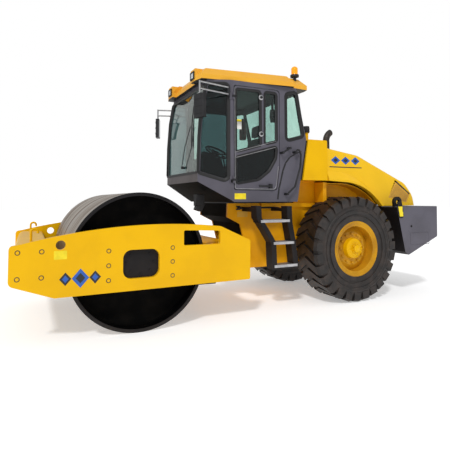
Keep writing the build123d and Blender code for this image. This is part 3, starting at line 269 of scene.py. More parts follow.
def make_materials(colours):
    MAT.update(
        yellow=enamel("yellow enamel", colours.body_yellow, "E6B002", dust="B08A3A", dust_share=0.1),
        hood_yellow=enamel("hood enamel", colours.hood_yellow, "EFBE20", gloss=0.26, dust_share=0.15),
        rim_yellow=enamel("rim enamel", "D29A16", "B07C14", dust="7A5A34", gloss=0.36),
        # A darker, oranger copy of the yellow enamel: painted shade for the frame, fenders, arch posts and the
        # tank's lower part
        shade_yellow=enamel("shaded yellow enamel", "F0A80A", "DC9608", dust="96702E", gloss=0.38, dust_share=0.1),
        vent_yellow=enamel("vent enamel", "E2AE46", "D09C3A", gloss=0.45),
        orange=enamel("roof enamel", colours.roof_yellow, "E9AA3A", gloss=0.3),
        grey=enamel("grey enamel", colours.cab_grey, "56545D", dust="8A8078", gloss=0.4, dust_share=0.2),
        # A darker grey for the nose's forward faces: painted shade on the side turned from the sun
        nose_grey=enamel("shaded nose enamel", "564E4F", "443E3E", gloss=0.3),
        black=enamel("black enamel", "161517", "201E20", dust="4A4038", gloss=0.5),
        drum=rolled_steel(),
        drum_black=drum_interior(),
        matt_black=primed_black(),
        tyre=tyre_rubber(),
        plastic=moulded_plastic("black polypropylene", "18181B", "242427"),
        trim=moulded_plastic("grey polypropylene", "57585C", "616367", 0.7),
        rubber=soft_rubber(),
        glass=tinted_glass("clear green safety glass", "E6F3EC", "DCEBE3"),
        dark_glass=tinted_glass("green door glass", "B0CBC5", "A4C0BA"),
        corner_glass=tinted_glass("deep green glass", "4A6468", "415A5E"),
        pale_glass=tinted_glass("light green glass", "DDF2EB", "D2EAE2"),
        cast=bare_metal("cast steel", "3A3634", "4A4440", 0.6, 0.6),
        chrome=bare_metal("hard chrome", "C8CACC", "D6D8DA", 0.12),
        mirror=bare_metal("silvered mirror glass", "D8DCDE", "E2E6E8", 0.03),
        zinc=bare_metal("zinc plated steel", "B0B0B2", "C6C6C8", 0.38),
        amber=lens_plastic("amber acrylic", "FFB41E", "F59A0C", 0.2),
        red=lens_plastic("red acrylic", "B01010", "901010", 0.05),
        lamp=lens_plastic("clear acrylic", "E8EEF2", "D2DADE"),
        cloth=woven_cloth(),
        vent_dark=flat_film("perforation shade", "A2761E", "906818"),
        blue_film=flat_film("blue vinyl", "1F56B0", "2A5FB4"),
        dark_film=flat_film("dark vinyl", "1E2024", "2A2C30"),
        lemon_film=flat_film("lemon vinyl", "F4DC14", "E6CE10"),
        white_film=flat_film("white vinyl", "EDEDE6", "DFDFD8"),
        red_paint=moulded_plastic("red enamel", "A81818", "8E1212", 0.35),
    )


NODE_FINISH = {
    "yellow": ("side_plate_left", "side_plate_right", "front_beam", "tank", "tie_hooks", "filler_neck"),
    # shade_yellow is painted shade on parts that stand under the cab, the hood and inside the wheel arches
    "shade_yellow": ("frame_side_left", "frame_side_right", "pivot_frame", "rear_beam", "fenders"),
    "rim_yellow": ("wheel_left", "wheel_right"),
    "hood_yellow": ("hood",),
    "orange": ("roof",),
    "grey": ("ballast", "cab_shell", "door"),
    "black": ("rear_axle", "scrapers", "drum_carriers", "ladder", "tie_lugs",
              "steering_barrel_left", "steering_barrel_right"),
    # drum_webs: near black, partly painted shade for a drum recess deeper than the model's; cab_floor: black
    # underseal that also stands in for painted shade under the cab
    "matt_black": ("drum_webs", "frame_decks", "cab_floor"),
    "plastic": ("beacon_stand", "seat_base", "console", "steering_wheel", "mirrors", "door_fittings",
                "grab_rails"),
    "lamp": ("roof_lamps",),
    "rubber": ("cab_mounts",),
    "glass": ("windshield",),
    "dark_glass": ("cab_glass", "door_glass"),
    "cast": ("frame_pins", "engine", "exhaust", "hitch"),
    "chrome": ("steering_rod_left", "steering_rod_right"),
    "amber": ("beacon",),
    "drum": ("drum_shell",),
    "tyre": ("tyre_left", "tyre_right"),
    "cloth": ("seat_cushion", "seat_back"),
}


def second_finish(node, key, test):
    """Gives the faces of a CAD node that pass the test a finish of their own."""
    mesh = NODES[node].data
    mesh.materials.append(MAT[key])
    index = len(mesh.materials) - 1
    for face in mesh.polygons:
        if test(face.center, face.normal):
            face.material_index = index


def finish_nodes():
    for key, names in NODE_FINISH.items():
        for name in names:
            mesh = NODES[name].data
            mesh.materials.clear()
            mesh.materials.append(MAT[key])
    missing = set(NODES) - {n for names in NODE_FINISH.values() for n in names}
    if missing:
        raise RuntimeError(f"no finish for {sorted(missing)}")
    cap_foot = high("filler_neck").z - 0.1
    mirror_clamp, mirror_back = high("mirrors").z - 0.155, -0.56
    nose_low, nose_high = low("cab_shell").z + 0.36, 1.83
    tank_sill = 1.722
    rear_panes = 0.32
    hub_cap_face, hub_cap_r = 0.94, 0.16
    ballast_top = high("ballast").z - 0.02

    def low_pane(c, n):
        """The door's lower pane ends along a rail that rises to the rear."""
        return c.z < 2.15 + 0.25 * c.x

    second_finish("filler_neck", "plastic", lambda c, n: c.z > cap_foot)
    second_finish("mirrors", "zinc", lambda c, n: c.z > mirror_clamp and c.x < mirror_back)
    # Downward faces low on the cab take black primer: black underseal, and also painted shade under the cab
    second_finish("cab_shell", "matt_black", lambda c, n: n.z < -0.25 and c.z < nose_low)
    # Forward faces low on the cab's nose take the darker grey: painted shade
    second_finish("cab_shell", "nose_grey", lambda c, n: n.x < -0.97 and c.z < nose_high)
    # The roof's downward faces take black plastic: painted shade under the roof's overhang
    second_finish("roof", "plastic", lambda c, n: n.z < -0.5)
    second_finish("door_glass", "corner_glass", low_pane)
    # The tank's faces below the hood's sill take the darker yellow: painted shade under the hood's overhang
    second_finish("tank", "shade_yellow", lambda c, n: c.z < tank_sill)
    second_finish("cab_glass", "corner_glass", lambda c, n: c.x < DOOR_FRONT)
    second_finish("cab_glass", "pale_glass", lambda c, n: c.x > rear_panes)
    for name, side in SIDES:
        cap = middle(f"wheel_{name}")
        second_finish(f"wheel_{name}", "yellow", lambda c, n: side * c.y > hub_cap_face and
                      hypot(c.x - cap.x, c.z - cap.z) < hub_cap_r)
    # The ballast's front and downward faces take black enamel: painted shade on the faces turned from the
    # light
    second_finish("ballast", "black", lambda c, n: n.x < -0.5 or n.z < -0.5)
    second_finish("drum_shell", "drum_black", lambda c, n: abs(n.y) > 0.5 or
                  (c.x - DRUM.x) * n.x + (c.z - DRUM.z) * n.z < 0)
    second_finish("ballast", "trim", lambda c, n: n.z > 0.5 and c.z > ballast_top)


# ------------------------------------------------------------------ mesh building
def skin(bm, rings, mat=0, loop=False, shift=0):
    """Joins closed rings of points one after another. The ends are capped, or joined when the path is a loop;
    shift then turns the last ring on by so many points, so that it meets the first one straight."""
    rows = [[bm.verts.new(p) for p in ring] for ring in rings]
    count = len(rows[0])
    pairs = list(zip(rows, rows[1:]))
    if loop:
        pairs.append((rows[-1][shift:] + rows[-1][:shift], rows[0]))
    made = [bm.faces.new((a[i], a[(i + 1) % count], b[(i + 1) % count], b[i])) for a, b in pairs
            for i in range(count)]
    if not loop:
        made += [bm.faces.new(rows[0][::-1]), bm.faces.new(rows[-1])]
    for face in made:
        face.material_index = mat


def prism(bm, corners, depth, mat=0):
    """Solid between a flat outline and the same outline moved by depth."""
    shift = Vector(depth)
    skin(bm, [[Vector(c) for c in corners], [Vector(c) + shift for c in corners]], mat)


def block(bm, lo, hi, mat=0):
    prism(bm, [(lo[0], lo[1], lo[2]), (hi[0], lo[1], lo[2]), (hi[0], hi[1], lo[2]), (lo[0], hi[1], lo[2])],
          (0, 0, hi[2] - lo[2]), mat)


def lozenge(bm, centre, half_width, half_height, depth, mat):
    """Lozenge of film on the machine's side; depth is how far it reaches across the machine."""
    x, y, z = centre
    prism(bm, [(x - half_width, y, z), (x, y, z - half_height), (x + half_width, y, z),
               (x, y, z + half_height)],
          (0, depth, 0), mat)


def circle(centre, axis, radius, sides):
    """Points of a circle round an axis."""
    axis = Vector(axis).normalized()
    side = axis.orthogonal().normalized()
    other = axis.cross(side)
    centre = Vector(centre)
    return [centre + radius * (cos(2 * pi * k / sides) * side + sin(2 * pi * k / sides) * other)
            for k in range(sides)]


def turned(bm, profile, centre, axis, sides=32, mat=0):
    """Body of revolution: the profile holds (distance along the axis, radius)."""
    axis = Vector(axis).normalized()
    skin(bm, [circle(Vector(centre) + axis * u, axis, r, sides) for u, r in profile], mat)


def ring(bm, profile, centre, axis, sides=64, mat=0):
    """Ring of revolution whose section is a closed list of (distance along the axis, radius)."""
    axis = Vector(axis).normalized()
    rows = [circle(Vector(centre) + axis * u, axis, r, sides) for u, r in profile]
    skin(bm, [[row[k] for row in rows] for k in range(sides)], mat, loop=True)


def pipe(bm, points, radius, sides=12, mat=0, loop=False, flat=1.0):
    """Bar of round or flattened section along a path."""
    path = [Vector(p) for p in points]
    count = len(path)
    sections = []
    normal = None
    for i, p in enumerate(path):
        before = path[(i - 1) % count] if loop or i else p
        after = path[(i + 1) % count] if loop or i < count - 1 else p
        way = (after - before).normalized()
        if normal is None:
            normal = way.orthogonal().normalized()
        else:
            normal = (normal - way * normal.dot(way)).normalized()
        other = way.cross(normal)
        turns = [2 * pi * k / sides for k in range(sides)]
        sections.append([p + radius * (cos(t) * normal + flat * sin(t) * other) for t in turns])
    shift = 0
    if loop:
        def gap(turn):
            return sum((sections[0][k] - sections[-1][(k + turn) % sides]).length for k in range(0, sides, 3))

        shift = min(range(sides), key=gap)
    skin(bm, sections, mat, loop, shift)


def bent(points, radius=0.03, steps=5):
    """Path with its corners rounded."""
    path = [Vector(p) for p in points]
    out = [path[0]]
    for a, b, c in zip(path, path[1:], path[2:]):
        reach = min(radius, (a - b).length * 0.45, (c - b).length * 0.45)
        start = b + (a - b).normalized() * reach
        end = b + (c - b).normalized() * reach
        for k in range(steps + 1):
            t = k / steps
            out.append(start.lerp(b, t).lerp(b.lerp(end, t), t))
    return out + [path[-1]]


def show(name, bm, body, slot_name, *finishes, **look):
    """Makes the finished piece of a mesh that was built up."""
    bmesh.ops.remove_doubles(bm, verts=bm.verts, dist=1e-6)
    bmesh.ops.recalc_face_normals(bm, faces=bm.faces)
    mesh = bpy.data.meshes.new(name)
    bm.to_mesh(mesh)
    bm.free()
    for key in finishes:
        mesh.materials.append(MAT[key])
    return place(name, mesh, body, slot_name, **look)


def place(name, mesh, body, slot_name, sharp=35, bevel=0.0, rounds=0):
    """Sets a mesh in the scene: smooth shading, rounded edges and the body it rides on; slot_name is not used.
    """
    obj = bpy.data.objects.new(name, mesh)
    bpy.context.scene.collection.objects.link(obj)
    mesh.shade_smooth()
    mesh.set_sharp_from_angle(angle=radians(sharp))
    if bevel:
        edge = obj.modifiers.new("broken edges", "BEVEL")
        edge.width = bevel
        edge.segments = 2
        edge.limit_method = "ANGLE"
    if rounds:
        curve = obj.modifiers.new("soft form", "SUBSURF")
        curve.levels = curve.render_levels = rounds
    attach(obj, body)
    return obj


def blocks(name, boxes, body, slot_name, *finishes, **look):
    """One piece of plain blocks, each given as its low and high corners and the number of its finish."""
    bm = bmesh.new()
    for lo, hi, *mat in boxes:
        block(bm, lo, hi, *mat)
    show(name, bm, body, slot_name, *finishes, **look)


def surface(node, start, way):
    """Where a line from start meets a CAD node, and the outward normal there."""
    found, spot, normal, _ = NODES[node].ray_cast(Vector(start), Vector(way))
    if not found:
        raise RuntimeError(f"nothing of {node} lies at {tuple(start)} towards {tuple(way)}")
    return spot, normal


# ------------------------------------------------------------------ Geometry Nodes for what repeats
def node_tree(name, numbers):
    """Empty tree with a mesh of points, its sizes and its finish as named inputs."""
    tree = bpy.data.node_groups.new(name, "GeometryNodeTree")
    face = tree.interface
    face.new_socket("Points", in_out="INPUT", socket_type="NodeSocketGeometry")
    for label, kind, value in numbers:
        face.new_socket(label, in_out="INPUT", socket_type=f"NodeSocket{kind}").default_value = value
    face.new_socket("Finish", in_out="INPUT", socket_type="NodeSocketMaterial")
    face.new_socket("Mesh", in_out="OUTPUT", socket_type="NodeSocketGeometry")
    return tree, add(tree, "NodeGroupInput").outputs, add(tree, "NodeGroupOutput")


def repeat_on_points(tree, enter, leave, shape, pivot):
    """Sets a shape on each point, its Z along the point's axis, and ends in one real mesh with its finish."""
    axis = add(tree, "GeometryNodeInputNamedAttribute", data_type="FLOAT_VECTOR", Name="axis")
    turn = add(tree, "FunctionNodeAlignRotationToVector", {"Vector": axis.outputs["Attribute"]}, axis="Z",
               pivot_axis=pivot)
    many = add(tree, "GeometryNodeInstanceOnPoints", {"Points": enter["Points"], "Instance": shape,
                                                      "Rotation": turn.outputs["Rotation"]})
    real = add(tree, "GeometryNodeRealizeInstances", {"Geometry": many.outputs["Instances"]})
    paint = add(tree, "GeometryNodeSetMaterial",
                {"Geometry": real.outputs["Geometry"], "Material": enter["Finish"]})
    tree.links.new(paint.outputs["Geometry"], leave.inputs["Mesh"])
    return tree


def raised(tree, shape, height):
    """Moves a centred shape up by half its height."""
    half = add(tree, "ShaderNodeMath", {0: height}, operation="MULTIPLY")
    half.inputs[1].default_value = 0.5
    lift = add(tree, "ShaderNodeCombineXYZ", {"Z": half.outputs["Value"]})
    moved = add(tree, "GeometryNodeTransform", {"Geometry": shape, "Translation": lift.outputs["Vector"]})
    return moved.outputs["Geometry"]


def stud_tree():
    """Head with a flat washer, set on every point."""
    tree, enter, leave = node_tree("studs", (
        ("Radius", "Float", 0.012), ("Height", "Float", 0.008), ("Sides", "Int", 6),
        ("Washer", "Float", 0.016), ("Washer height", "Float", 0.002)))
    head = add(tree, "GeometryNodeMeshCylinder", {"Radius": enter["Radius"], "Depth": enter["Height"],
                                                  "Vertices": enter["Sides"]})
    disc = add(tree, "GeometryNodeMeshCylinder", {"Radius": enter["Washer"], "Depth": enter["Washer height"]},
               Vertices=16)
    both = add(tree, "GeometryNodeJoinGeometry")
    tree.links.new(raised(tree, head.outputs["Mesh"], enter["Height"]), both.inputs[0])
    tree.links.new(raised(tree, disc.outputs["Mesh"], enter["Washer height"]), both.inputs[0])
    return repeat_on_points(tree, enter, leave, both.outputs["Geometry"], "AUTO")


def slat_tree():
    """Flat bar across the machine, set on every point and tilted to its axis."""
    tree, enter, leave = node_tree("slats", (("Size", "Vector", (0.02, 0.9, 0.006)),))
    bar = add(tree, "GeometryNodeMeshCube", {"Size": enter["Size"]})
    return repeat_on_points(tree, enter, leave, bar.outputs["Mesh"], "Y")


def dot_tree():
    """Low round dot, set on every point."""
    tree, enter, leave = node_tree("dots", (
        ("Radius", "Float", 0.004), ("Height", "Float", 0.001), ("Sides", "Int", 8)))
    dot = add(tree, "GeometryNodeMeshCylinder", {"Radius": enter["Radius"], "Depth": enter["Height"],
                                                 "Vertices": enter["Sides"]})
    return repeat_on_points(tree, enter, leave, dot.outputs["Mesh"], "AUTO")


MAKERS = {"studs": stud_tree, "slats": slat_tree, "dots": dot_tree}
TREES = {}


def repeated(name, kind, points, body, slot_name, finish, **sizes):
    """Plain mesh of one shape repeated on points, each given as (place, axis)."""
    if kind not in TREES:
        TREES[kind] = MAKERS[kind]()
    tree = TREES[kind]
    mesh = bpy.data.meshes.new(name + "_points")
    mesh.from_pydata([tuple(p) for p, _ in points], [], [])
    axes = mesh.attributes.new("axis", "FLOAT_VECTOR", "POINT")
    axes.data.foreach_set("vector", [v for _, axis in points for v in axis])
    obj = bpy.data.objects.new(name + "_maker", mesh)
    bpy.context.scene.collection.objects.link(obj)
    maker = obj.modifiers.new("repeat", "NODES")
    maker.node_group = tree
    values = {**sizes, "finish": MAT[finish]}
    for item in tree.interface.items_tree:
        key = item.name.replace(" ", "_").lower()
        if item.in_out == "INPUT" and key in values:
            maker[item.identifier] = values[key]
    graph = bpy.context.evaluated_depsgraph_get()
    made = bpy.data.meshes.new_from_object(obj.evaluated_get(graph), depsgraph=graph)
    bpy.data.objects.remove(obj)
    if not made.polygons:
        raise RuntimeError(f"{name} came out empty")
    made.name = name
    place(name, made, body, slot_name)


def bolts(name, points, body, slot_name, finish, radius, height, washer, washer_height):
    """Hexagon heads with flat washers."""
    repeated(name, "studs", points, body, slot_name, finish, radius=radius, height=height, sides=6,
             washer=washer, washer_height=washer_height)


def bolt_ring(hub, y, radius, count, side):
    """Places and axes of bolts in a ring round a hub, on a face that looks to one side."""
    return [((hub.x + radius * cos(a), y, hub.z + radius * sin(a)), (0, side, 0))
            for a in (2 * pi * k / count for k in range(count))]


# ------------------------------------------------------------------ panes
def pane_edges(node):
    """Outer edge line of each pane of a glass node, as lists of points with the pane's outward normal."""
    bm = bmesh.new()
    bm.from_mesh(NODES[node].data)
    bmesh.ops.remove_doubles(bm, verts=bm.verts, dist=1e-5)
    bm.faces.index_update()
    left = set(bm.faces)
    found = []
    while left:
        seed = max(left, key=lambda f: (f.calc_area(), f.index))
        region = {seed}
        queue = [seed]
        while queue:
            face = queue.pop()
            for edge in face.edges:
                for other in edge.link_faces:
                    if other not in region and other.normal.angle(face.normal) < radians(25):
                        region.add(other)
                        queue.append(other)
        left -= region
        faces = sorted(region, key=lambda f: f.index)
        area = sum(f.calc_area() for f in faces)
        normal = sum((f.normal * f.calc_area() for f in faces), Vector()).normalized()
        centre = sum((f.calc_center_median() * f.calc_area() for f in faces), Vector()) / area
        outward = Vector((centre.x - CAB_MIDDLE.x, centre.y, 0)).dot(normal) > 0
        if area < 0.05 or not outward:
            continue
        border = {}
        for face in faces:
            for edge in face.edges:
                if sum(f in region for f in edge.link_faces) == 1:
                    a, b = edge.verts
                    border.setdefault(a, []).append(b)
                    border.setdefault(b, []).append(a)
        start = next(iter(border))
        line = [start]
        last = None
        while True:
            step = next(v for v in border[line[-1]] if v is not last)
            last = line[-1]
            if step is start:
                break
            line.append(step)
        found.append(([v.co.copy() for v in line], normal))
    bm.free()
    return found


def evenly(points, spacing):
    """Closed line cut into stretches of about the spacing, without the very short ones."""
    out = []
    count = len(points)
    for i, p in enumerate(points):
        q = points[(i + 1) % count]
        parts = max(1, round((q - p).length / spacing))
        if out and (p - out[-1]).length < spacing * 0.12:
            continue
        out += [p.lerp(q, k / parts) for k in range(parts)]
    return out


def pane_border(bm, points, normal, margin):
    """Flat rubber lip round a pane: it starts on the glass's edge and reaches out over the frame."""
    centre = sum(points, Vector()) / len(points)
    count = len(points)
    section = ((-0.006, 0.004), (0.004, 0.006), (margin, 0.0175), (margin, 0.0215), (0.003, 0.0215),
               (-0.006, 0.012))
    rings = []
    for out, lift in section:
        line = []
        for i, p in enumerate(points):
            way = (points[(i + 1) % count] - points[i - 1]).normalized()
            side = way.cross(normal)
            side = side if side.dot(p - centre) > 0 else -side
            line.append(p + side * out + normal * lift)
        rings.append(line)
    skin(bm, [[row[i] for row in rings] for i in range(count)], loop=True)


# ------------------------------------------------------------------ what can be set
class RollerLook(bpy.types.PropertyGroup):
    """Colours of the machine and the light on it."""

    body_yellow: bpy.props.StringProperty(name="Body yellow", description="sRGB hex of the body paint",
                                        default="EEB800")
    hood_yellow: bpy.props.StringProperty(name="Hood yellow", description="sRGB hex of the hood paint",
                                        default="F4C222")
    roof_yellow: bpy.props.StringProperty(name="Roof yellow", description="sRGB hex of the roof paint",
                                        default="EFB23A")
    cab_grey: bpy.props.StringProperty(name="Cab grey", description="sRGB hex of the cab paint",
                                       default="5E5C66")
    sun_power: bpy.props.FloatProperty(name="Sun", description="Strength of the key light", default=1.5,
                                       min=0)
    sky_power: bpy.props.FloatProperty(name="Sky", description="Strength of the light from all round",
                                       default=0.55, min=0)


class RollerTrim(bpy.types.PropertyGroup):
    """Sizes of the small fittings."""

    seal_width: bpy.props.FloatProperty(name="Seal width", description="Width of the rubber round each pane",
                                        default=0.024, unit="LENGTH", min=0.005)
    bolt_radius: bpy.props.FloatProperty(name="Plate bolts",
                                         description="Radius of the bolt heads in the side plates",
                                         default=0.017, unit="LENGTH", min=0.005)
    wheel_bolts: bpy.props.IntProperty(name="Wheel bolts", description="Bolts in each wheel disc", default=12,
                                       min=4, max=24)
    cap_bolts: bpy.props.IntProperty(name="Hub bolts", description="Bolts in each hub cap", default=10, min=4,
                                     max=24)
    vent_pitch: bpy.props.FloatProperty(name="Vent pitch",
                                        description="Distance between the holes of the hood's vents",
                                        default=0.021, unit="LENGTH", min=0.01)
    slat_count: bpy.props.IntProperty(name="Rear slats", description="Slats in the hood's rear grille",
                                      default=11, min=4, max=30)


class RollerView(bpy.types.PropertyGroup):
    """Where the camera stands and how it looks."""

    place: bpy.props.FloatVectorProperty(name="Place", description="Camera position", subtype="TRANSLATION",
                                         unit="LENGTH", default=(-2.856, -5.683, 1.447))
    yaw: bpy.props.FloatProperty(name="Yaw", description="Turn from +Y towards +X", subtype="ANGLE",
                                 default=radians(25.01))
    pitch: bpy.props.FloatProperty(name="Pitch", description="Upward tilt", subtype="ANGLE",
                                   default=radians(3.05))
    roll: bpy.props.FloatProperty(name="Roll", description="Turn about the line of sight", subtype="ANGLE",
                                  default=radians(-0.16))
    lens: bpy.props.FloatProperty(name="Lens", description="Focal length in millimetres", default=33.48,
                                  min=5)
    shift: bpy.props.FloatProperty(name="Shift", description="Vertical lens shift as a share of the frame",
                                   default=-0.106)


class ROLLER_OT_finish(bpy.types.Operator):
    """Gives each part of the frame its paint, rubber, glass or metal"""

    bl_idname = "roller.finish"
    bl_label = "Finish the frame's parts"

    def execute(self, context):
        make_materials(context.scene.roller_look)
        finish_nodes()
        return {"FINISHED"}


# ------------------------------------------------------------------ drum end
class ROLLER_OT_plate_fittings(bpy.types.Operator):
    """Bolts, plain labels and a lozenge ornament on the side plates"""

    bl_idname = "roller.plate_fittings"
    bl_label = "Side plate fittings"

    def execute(self, context):
        head = context.scene.roller_trim.bolt_radius
        spots = [(x, z) for x in (-1.212, -0.997) for z in (0.938, 0.683)]
        spots += [(x, z) for x in (-0.35, 0.35) for z in (0.911, 0.757, 0.603)]
        points = [((DRUM.x + x, s * PLATE_FACE, z), (0, s, 0)) for x, z in spots for _, s in SIDES]
        repeated("plate_bolt_rings", "dots", points, "front_frame", "black_paint", "dark_film",
                 radius=head + 0.008, height=0.002, sides=20)
        bolts("plate_bolts", points, "front_frame", "yellow_paint", "yellow", head * 0.62, 0.005, head, 0.003)
        carrier = high("drum_carriers").y
        points = [((DRUM.x + 0.15 * cos(a), s * carrier, DRUM.z + 0.13 * sin(a)), (0, s, 0))
                  for a in (2 * pi * k / 8 for k in range(8)) for _, s in SIDES]
        bolts("carrier_bolts", points, "front_frame", "black_paint", "black", 0.013, 0.01, 0.018, 0.003)
        ornament_z = 0.652
        for name, side in SIDES:
            y = side * PLATE_FACE
            blocks(f"plate_label_{name}",
                   [((DRUM.x - 0.885, y - 0.001, 0.852), (DRUM.x - 0.762, y + 0.001, 0.938))],
                   "front_frame", "yellow_paint", "lemon_film")
            bm = bmesh.new()
            for k, (x, reach) in enumerate(((-0.775, 0.058), (-0.63, 0.085), (-0.485, 0.058))):
                for part, mat, out in ((1.0, k % 2, 0.001), (0.55, 1 - k % 2, 0.0014)):
                    lozenge(bm, (DRUM.x + x, y - out, ornament_z), reach * part, reach * part * 1.15, 2 * out,
                            mat)
            show(f"plate_ornament_{name}", bm, "front_frame", "black_paint", "dark_film", "blue_film")
        lo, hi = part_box("front_beam")
        blocks("nose_beam_tread",
               [((lo.x + 0.07, lo.y + 0.01, hi.z), (hi.x - 0.05, hi.y - 0.01, hi.z + 0.004))],
               "front_frame", "yellow_paint", "yellow", bevel=0.002)
        return {"FINISHED"}


class ROLLER_OT_drum_fittings(bpy.types.Operator):
    """Bolted hub rings in the drum's ends and a black edge on its end rings"""

    bl_idname = "roller.drum_fittings"
    bl_label = "Drum fittings"

    def execute(self, context):
        bm = bmesh.new()
        inner = DRUM_R - DRUM_WALL
        face = high("drum_shell").y
        section = ((-0.012, inner + 0.001), (-0.002, inner - 0.006), (0.001, inner + 0.004),
                   (0.001, DRUM_R - 0.008), (-0.006, DRUM_R - 0.001))
        for _, side in SIDES:
            ring(bm, [(side * (face + out), r) for out, r in section], DRUM * Vector((1, 0, 1)), (0, 1, 0),
                 sides=96)
        show("drum_end_rings", bm, "drum", "drum_steel", "black", sharp=50)
        web = high("drum_webs").y - 0.04
        points = [((DRUM.x + 0.24 * cos(a), s * web, DRUM.z + 0.24 * sin(a)), (0, s, 0))
                  for a in (2 * pi * k / 16 for k in range(16)) for _, s in SIDES]
        bolts("drum_bolts", points, "drum", "black_paint", "black", 0.016, 0.014, 0.022, 0.004)
        return {"FINISHED"}


# ------------------------------------------------------------------ wheels
class ROLLER_OT_wheel_fittings(bpy.types.Operator):
    """Wheel bolts, hub cap bolts, valve and the moulded rings on the tyre walls"""

    bl_idname = "roller.wheel_fittings"
    bl_label = "Wheel fittings"

    def execute(self, context):
        trim = context.scene.roller_trim
        for name, side in SIDES:
            body = f"wheel_{name}"
            lo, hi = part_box(body)
            hub = Vector(((lo.x + hi.x) / 2, 0, (lo.z + hi.z) / 2))
            cap = hi.y if side > 0 else lo.y
            inward = (0, -side, 0)
            disc, _ = surface(body, (hub.x + WHEEL_BOLT_RING, side * FAR_OUT, hub.z), inward)
            bolts(f"wheel_bolts_{name}", bolt_ring(hub, disc.y, WHEEL_BOLT_RING, trim.wheel_bolts, side),
                  body, "yellow_paint", "rim_yellow", 0.016, 0.022, 0.021, 0.005)
            bolts(f"hub_bolts_{name}", bolt_ring(hub, cap, HUB_BOLT_RING, trim.cap_bolts, side), body,
                  "yellow_paint", "yellow", 0.009, 0.009, 0.012, 0.002)
            bm = bmesh.new()
            for r, proud in ((0.475, 0.012), (0.545, 0.008), (0.585, 0.005)):
                wall, _ = surface(f"tyre_{name}", (hub.x + r, side * FAR_OUT, hub.z), inward)
                foot, top = wall.y - side * 0.006, wall.y + side * proud
                ring(bm, [(foot, r - 0.012), (top, r - 0.005), (top, r + 0.005), (foot, r + 0.012)], hub,
                     (0, 1, 0), sides=96)
            valve = (hub.x - 0.22, disc.y - side * 0.002, hub.z + 0.16)
            turned(bm, [(0, 0.011), (0.03, 0.009), (0.032, 0.006), (0.05, 0.006)], valve, (0, side, 0),
                   sides=12)
            show(f"tyre_wall_rings_{name}", bm, body, "tyre_rubber", "tyre", sharp=60)
            bm = bmesh.new()
            turned(bm, [(0, 0.055), (0.004, 0.053), (0.008, 0.046)], (hub.x, cap - side * 0.001, hub.z),
                   (0, side, 0), sides=28)
            show(f"hub_plug_{name}", bm, body, "yellow_paint", "yellow")
        return {"FINISHED"}


# ------------------------------------------------------------------ cab
class ROLLER_OT_seals(bpy.types.Operator):
    """Rubber round every pane of the cab"""

    bl_idname = "roller.seals"
    bl_label = "Window rubbers"

    def execute(self, context):
        width = context.scene.roller_trim.seal_width
        for node, body, margin in (("windshield", "rear_frame", 0.026), ("cab_glass", "rear_frame", 0.04),
                                   ("door_glass", "door", 0.026)):
            bm = bmesh.new()
            for points, normal in pane_edges(node):
                even = evenly(points, 0.12)
                pipe(bm, [p + normal * 0.006 for p in even], width / 2, sides=8, loop=True)
                pane_border(bm, even, normal, margin)
            show(f"{node}_rubber", bm, body, "black_plastic", "rubber", sharp=60)
        return {"FINISHED"}


